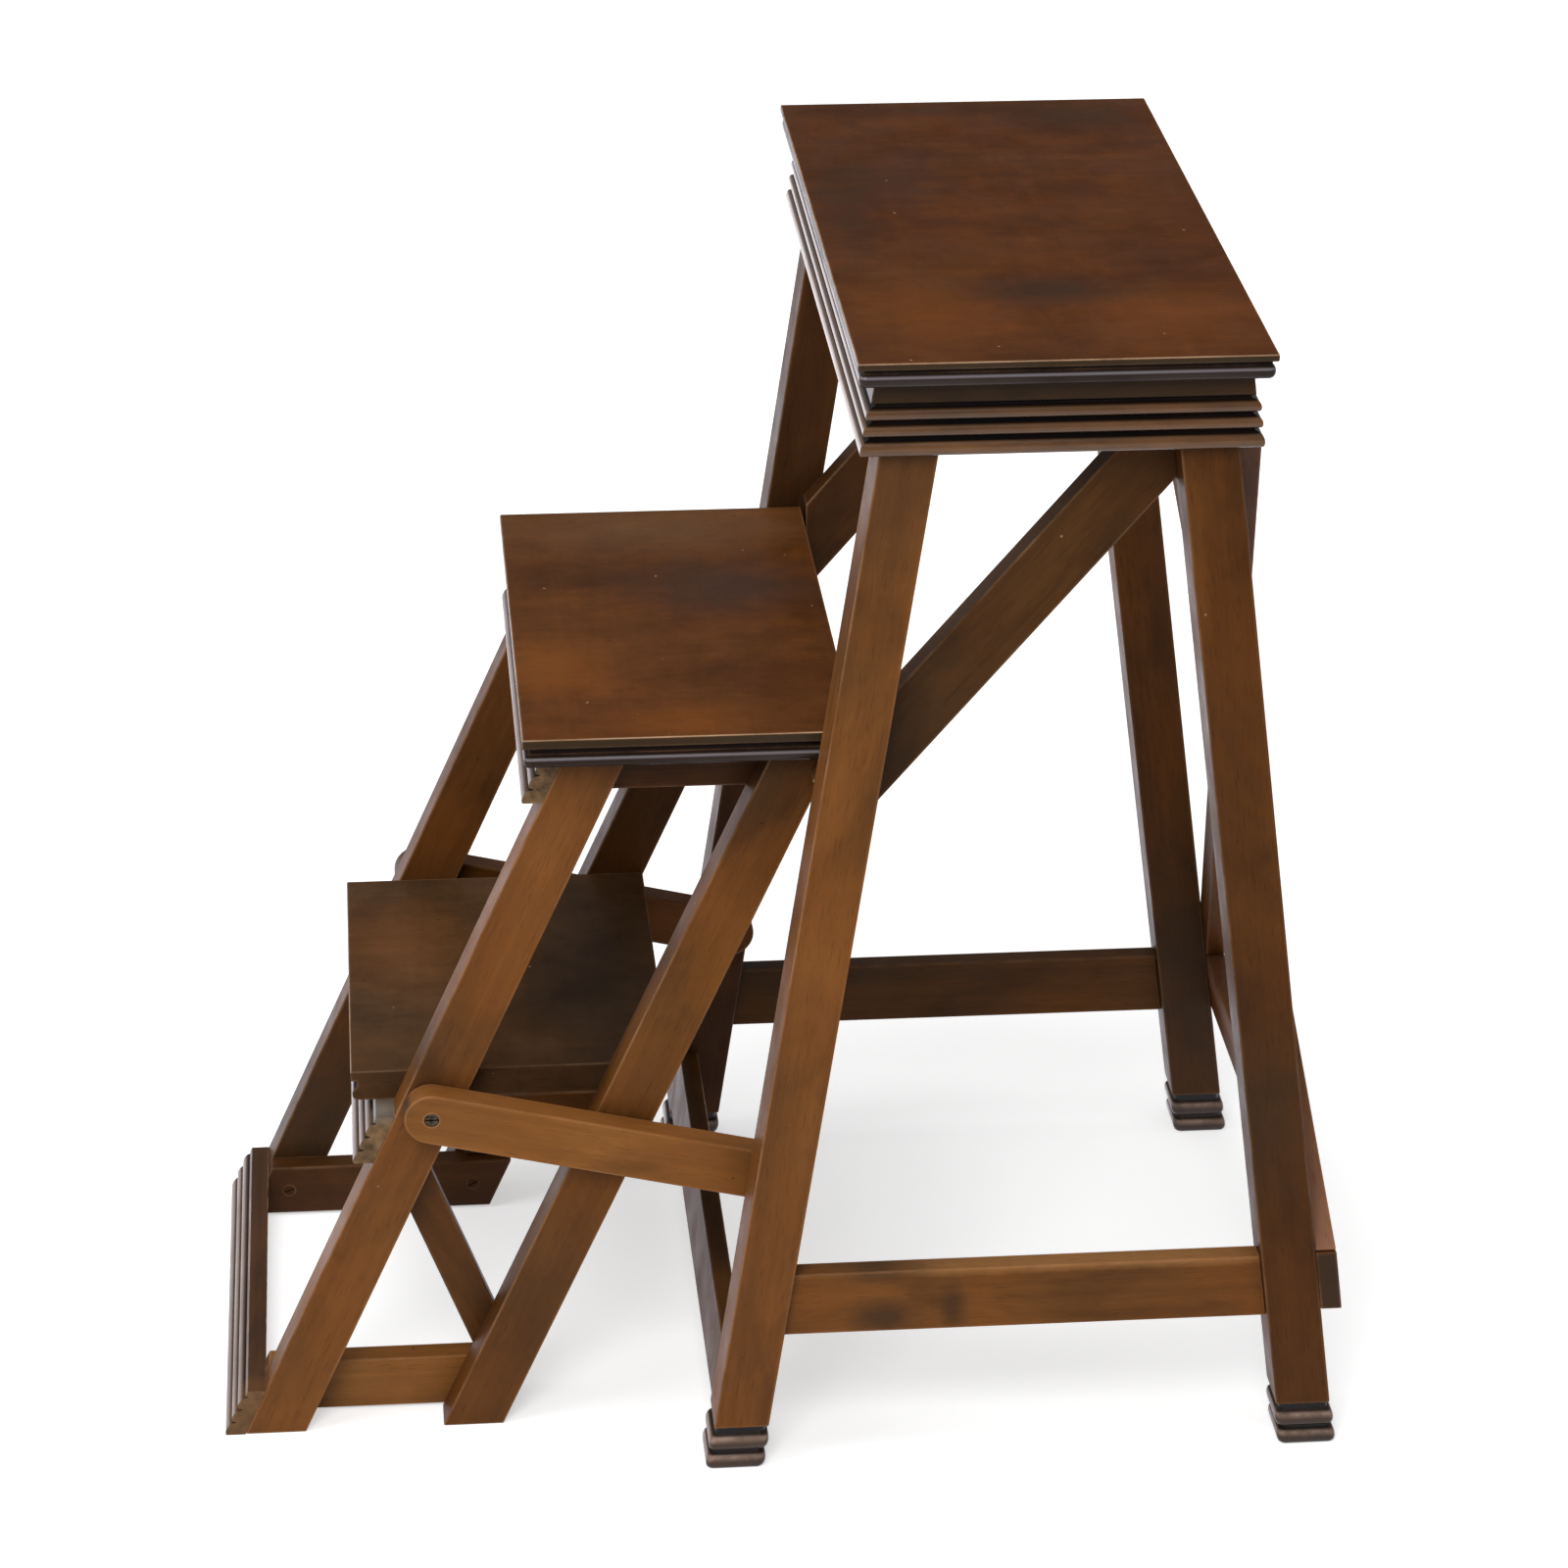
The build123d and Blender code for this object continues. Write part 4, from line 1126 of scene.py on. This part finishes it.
def beads_scuffed_and_highlit(g, colour):
    """Pale scuffs and a painted highlight on the upward shoulders of the beads, and black in the
    waist and the neck.
    """
    z = g.math("DIVIDE", g.parts_of(g.place)[2], FOOT_HEIGHT * MM)
    bands = g.ramp(z, *LOWER_BROWN, *UPPER_BROWN)
    rise = g.parts_of(g.normal())[2]
    # Upward-facing shoulders get a pale colour that is both scuffs and a painted highlight.
    shoulder = g.ramp(rise, (-0.15, 0.0), (0.35, 1.0), (0.75, 0.6), (0.95, 0.0))
    patchy = g.patches(70.0, (0.34, 0.35), (0.62, 1.0), roughness=0.65)
    scuff_and_highlight = g.times(bands, shoulder, patchy)
    colour = g.mix(g.minus(1.0, bands), colour, BLACK_STAIN_AND_SHADE)
    return g.mix(g.times(scuff_and_highlight, SCUFF_AND_HIGHLIGHT_COVER), colour, SCUFF_AND_HIGHLIGHT), bands, 0.0


for node in sorted(set(nodes) - dressed):
    if node.startswith("foot_"):
        finish = polished_wood(
            "ebonised_" + node, FOOT, ACROSS, gloss=0.32, level=0.2, rub=0.2, dirt=0.7,
            edge=beads_scuffed_and_highlit, end_stain=0.0,
        )
        dress(node, finish)
        beaded_foot(node, finish)
    elif node == "seat_blocks":
        dress(node, polished_wood("raw_" + node, RAW, LENGTHWAYS, gloss=0.6, rub=0.0))

# %% [markdown]
# ## Slotted screws
# Old wood screws have a flat countersunk head with one slot, and no two slots stop at the same
# angle. One screw is shaped from a cube with many points: the square is squeezed to a circle, line
# by line, so that the slot's sides stay straight, and the top is lowered between them. The recipe
# then sets that screw on every point with a random turn, so all the screws cost one shape.

# %% The recipe that makes and sets a screw
FACETS = 17
SLOT_SHARE = 0.15
SLOT_WALL = 0.03
SLOT_DEPTH = 0.28
DOME = 0.07
SUNK = 0.02
UNDERSIDE = 0.6
TAPER = 0.5
NECK = 0.55
SCREW_CRISP_ABOVE = radians(35.0)
g = setting = Recipe("slotted_screws", Radius=0.004, Shank=0.02, Seed=7, Finish="")
grid_sizes = {"Vertices_X": FACETS, "Vertices_Y": FACETS, "Vertices_Z": 3}
blank = g.add("MeshCube", Size=(2.0, 2.0, 1.0), **grid_sizes)
position = g.out("InputPosition")
x, y, z = g.parts_of(position)
spacing = g.add("ShaderNodeFloatCurve", Value=g.math("ABSOLUTE", y))
curve = spacing.mapping.curves[0]
for share_in, share_out in ((0.125, SLOT_SHARE), (0.25, SLOT_SHARE + SLOT_WALL)):
    curve.points.new(share_in, share_out)
for point in curve.points:
    point.handle_type = "VECTOR"
spacing.mapping.update()
across = spacing.outputs[0]
signed = g.times(across, g.math("SIGN", y))
chord = g.math("SQRT", g.minus(1.0, g.times(across, across), True))
flat_x = g.times(x, chord)

is_top = g.math("GREATER_THAN", z, 0.25)
is_bottom = g.math("LESS_THAN", z, -0.25)
in_slot = g.math("LESS_THAN", across, SLOT_SHARE + 0.01)
squared = g.plus(g.times(flat_x, flat_x), g.times(across, across))
dome = g.times(g.minus(1.0, squared), DOME)
top_z = g.minus(dome, g.times(in_slot, SLOT_DEPTH))
lowered = g.plus(g.times(is_bottom, UNDERSIDE), SUNK)
height = g.minus(g.times(top_z, is_top), lowered)
narrow = g.minus(1.0, g.times(is_bottom, TAPER))
head_place = g.out(
    "ShaderNodeCombineXYZ",
    X=g.times(flat_x, narrow),
    Y=g.times(signed, narrow),
    Z=height,
)
head_place = g.scaled(head_place, g.given["Radius"])
head = g.out("SetPosition", Geometry=blank.outputs["Mesh"], Position=head_place)
head = g.out("MergeByDistance", Geometry=head, Distance=WELD)

half_radius = g.times(g.given["Radius"], 0.5)
shank = g.add(
    "MeshCylinder", Vertices=14, Radius=half_radius, Depth=g.given["Shank"]
).outputs["Mesh"]
drop = g.times(g.given["Shank"], -0.5)
drop = g.minus(drop, g.times(g.given["Radius"], NECK))
lowered = g.out("ShaderNodeCombineXYZ", Z=drop)
shank = g.out("Transform", Geometry=shank, Translation=lowered)
screw = g.out("JoinGeometry", Geometry=[head, shank])

facing = g.named("facing", "FLOAT_VECTOR")
upright = g.out("FunctionNodeAlignRotationToVector", {"axis": "Z"}, Vector=facing)
random_turn = g.add(
    "FunctionNodeRandomValue", {"data_type": "FLOAT"}, Min=0.0, Max=pi, Seed=g.given["Seed"]
)
random_turn = next(s for s in random_turn.outputs if s.enabled)
own_turn = g.out("FunctionNodeAxisAngleToRotation", Axis=(0.0, 0.0, 1.0), Angle=random_turn)
turned = g.out(
    "FunctionNodeRotateRotation", {"rotation_space": "LOCAL"}, Rotation=upright, Rotate_By=own_turn
)
points = g.out("MeshToPoints", Mesh=g.given["Start"])
placed = g.out("InstanceOnPoints", Points=points, Instance=screw, Rotation=turned)
g.close(placed, SCREW_CRISP_ABOVE)

# %% [markdown]
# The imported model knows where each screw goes, so its places are read from there. Each screw of a
# packed group is an island of its own. The wider end of an island is the head, and that end's face
# is where the new head sits.


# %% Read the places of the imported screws
END_SLICE = 1e-4


def screw_places(node, axis):
    """The middle of each head's face and the way that it faces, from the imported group."""
    shell = bmesh.new()
    shell.from_mesh(nodes[node].data)
    bmesh.ops.remove_doubles(shell, verts=shell.verts, dist=WELD)
    left = set(shell.verts)
    found = []
    while left:
        island, waiting = set(), [left.pop()]
        while waiting:
            vert = waiting.pop()
            island.add(vert)
            for edge in vert.link_edges:
                other = edge.other_vert(vert)
                if other in left:
                    left.remove(other)
                    waiting.append(other)
        places = np.array([vert.co for vert in island])
        middle = (places.max(0) + places.min(0)) / 2
        depth = (places - middle) @ np.array(axis)
        radius = np.linalg.norm((places - middle) - np.outer(depth, axis), axis=1)
        ahead = radius[depth > depth.max() - END_SLICE].max()
        behind = radius[depth < depth.min() + END_SLICE].max()
        sign = 1.0 if ahead > behind else -1.0
        face = depth.max() if sign > 0 else depth.min()
        line = places[np.abs(depth - face) < END_SLICE]
        centre = (line.max(0) + line.min(0)) / 2
        found.append((Vector(centre), Vector(axis) * sign))
    shell.free()
    return sorted(found, key=lambda item: tuple(round(v, 4) for v in item[0]))


# %% [markdown]
# ## Metal
# The screws are steel, dulled and spotted with rust. Those of the floor cleats were stopped over
# with dark wax, so no bare head shows there. The spacers and washers between the moving parts are
# brass that has gone brown.


# %% Finish for the metal
STEEL = ((0.11, 0.085, 0.055), (0.03, 0.022, 0.016))
BRASS = ((0.34, 0.24, 0.11), (0.12, 0.08, 0.04))
FLOOR_CLEAT_TOP = 45.0
STOPPING_WAX = (0.056, 0.021, 0.0062)
WAX_SHINE = 0.08
RUST_SPOTS_A_METRE = 260.0
RUST_RELIEF = 0.0002


def dull_metal(name, tone, roughness, waxed_to=0.0):
    """Metal dulled and spotted by age, and waxed over up to a height in millimetres."""
    light, dark = tone
    g = Finish(name)
    spots = g.patches(RUST_SPOTS_A_METRE, (0.38, 0.0), (0.62, 1.0), roughness=0.65)
    colour = g.mix(spots, dark, light)
    tarnish = g.out("MapRange", Value=spots, To_Min=roughness + 0.12, To_Max=roughness - 0.06)
    bump = g.out("Bump", Strength=0.3, Distance=RUST_RELIEF, Height=spots)
    waxed = g.math("LESS_THAN", g.parts_of(g.place)[2], waxed_to * MM)
    colour = g.mix(waxed, colour, STOPPING_WAX)
    bare = g.minus(1.0, waxed)
    skin = {"Base_Color": colour, "Roughness": tarnish, "Metallic": bare, "Normal": bump}
    return g.close(Specular_IOR_Level=WAX_SHINE, **skin)


screw_steel = dull_metal("screw_steel", STEEL, 0.5, waxed_to=FLOOR_CLEAT_TOP)
pivot_brass = dull_metal("pivot_brass", BRASS, 0.45)

# %% Set the screws
square_to_back_leg = (cos(SPLAY), 0.0, sin(SPLAY))
screw_groups = {
    "runner_screws": ("stool", ACROSS),
    "back_stretcher_screws": ("stool", square_to_back_leg),
    "back_brace_screws": ("stool", square_to_back_leg),
    "cleat_screws": ("step_unit", ACROSS),
    "unit_brace_screws": ("step_unit", ACROSS),
}
for seed, (node, (body, axis)) in enumerate(screw_groups.items()):
    places = screw_places(node, axis)
    cloud = bpy.data.meshes.new("set_" + node)
    cloud.from_pydata([centre for centre, _ in places], [], [])
    ways = [value for _, way in places for value in way]
    cloud.attributes.new("facing", "FLOAT_VECTOR", "POINT").data.foreach_set("vector", ways)
    piece = setting.make("set_" + node, cloud, Seed=seed + 1, Finish=screw_steel)
    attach(piece, body)
    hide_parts(node)
    print(piece.name, "screws", len(places), "faces", len(piece.data.polygons))

for node in sorted(nodes):
    if "screw" in node:
        dress(node, screw_steel)
    elif "washer" in node or "spacer" in node:
        dress(node, pivot_brass)
print("nodes without a finish", sorted(set(nodes) - dressed))

# %% [markdown]
# ## Floor and light
# The light in the photograph comes from overhead and from the photographer's side, so the lower
# tread lies in the shade of the upper one. Three large area lamps and a pale surround give that.
# The ground in the photograph is plain white. The floor gets its white from its own colour and a
# glow that the camera sees, stronger further away. Polish sees a glow too, on the far floor alone,
# which is what draws the pale sheen along the mouldings' outer faces. Neither glow lights the wood.

# %% The floor
FLOOR_SIDE = 14.0
FLOOR_WHITE = (0.86, 0.86, 0.86)
GLOW_DISTANCES = {"From_Min": 0.3, "From_Max": 1.8}
CAMERA_GLOW = {"To_Min": 0.5, "To_Max": 0.9}
SHEEN_DEPTHS = {"From_Min": -0.8, "From_Max": 0.3}
SHEEN_GLOW = {"To_Min": 0.0, "To_Max": 1.1}
SHEEN_TINT = (0.98, 0.92, 1.0)
floor_mesh = bpy.data.meshes.new("studio_floor")
half = FLOOR_SIDE / 2
floor_corners = [(-half, -half, 0), (half, -half, 0), (half, half, 0), (-half, half, 0)]
floor_mesh.from_pydata(floor_corners, [], [(0, 1, 2, 3)])
floor = put("studio_floor", floor_mesh)
g = Finish("studio_floor_paint")
paint = g.add("BsdfPrincipled", Base_Color=FLOOR_WHITE, Roughness=0.9)
path = g.add("LightPath").outputs
distance = g.vector("LENGTH", g.place)
to_camera = g.out("MapRange", Value=distance, **GLOW_DISTANCES, **CAMERA_GLOW)
depth = g.parts_of(g.place)[1]
to_gloss = g.out("MapRange", Value=depth, **SHEEN_DEPTHS, **SHEEN_GLOW)
camera_share = g.times(to_camera, path["Is Camera Ray"])
strength = g.plus(camera_share, g.times(to_gloss, path["Is Glossy Ray"]))
tint = g.mix(path["Is Glossy Ray"], (1.0, 1.0, 1.0), SHEEN_TINT)
glow = g.add("Emission", Color=tint, Strength=strength)
both = g.add("AddShader", i0=paint.outputs[0], i1=glow.outputs[0])
g.add("OutputMaterial", Surface=both.outputs[0])
floor_mesh.materials.append(g.material)

# %% The surround and the lamps
AIR_LEVEL = 0.3
world = bpy.data.worlds.new("studio_air")
world.use_nodes = True
air = Wiring(world.node_tree)
seen = air.add("ShaderNodeLightPath").outputs["Is Camera Ray"]
level = air.out("ShaderNodeMapRange", Value=seen, To_Min=AIR_LEVEL, To_Max=1.0)
backdrop = air.add("ShaderNodeBackground", Color=(1.0, 1.0, 1.0), Strength=level)
air.add("ShaderNodeOutputWorld", Surface=backdrop.outputs[0])
bpy.context.scene.world = world


def soft_lamp(name, place, aim, width, power):
    """A square area lamp that faces a point."""
    data = bpy.data.lights.new(name, "AREA")
    data.size = width
    data.energy = power
    lamp = put(name, data)
    direction = Vector(aim) - Vector(place)
    turn = direction.to_track_quat("-Z", "Y").to_matrix().to_4x4()
    lamp.matrix_world = Matrix.Translation(Vector(place)) @ turn


soft_lamp("lamp_left", (-2.6, -0.8, 2.2), (0.0, 0.0, 0.4), 1.6, 30.0)
soft_lamp("lamp_near", (-0.6, -2.5, 2.7), (0.0, 0.0, 0.4), 1.5, 58.0)
soft_lamp("lamp_top", (-0.3, -0.2, 3.0), (0.0, 0.0, 0.5), 1.4, 24.0)
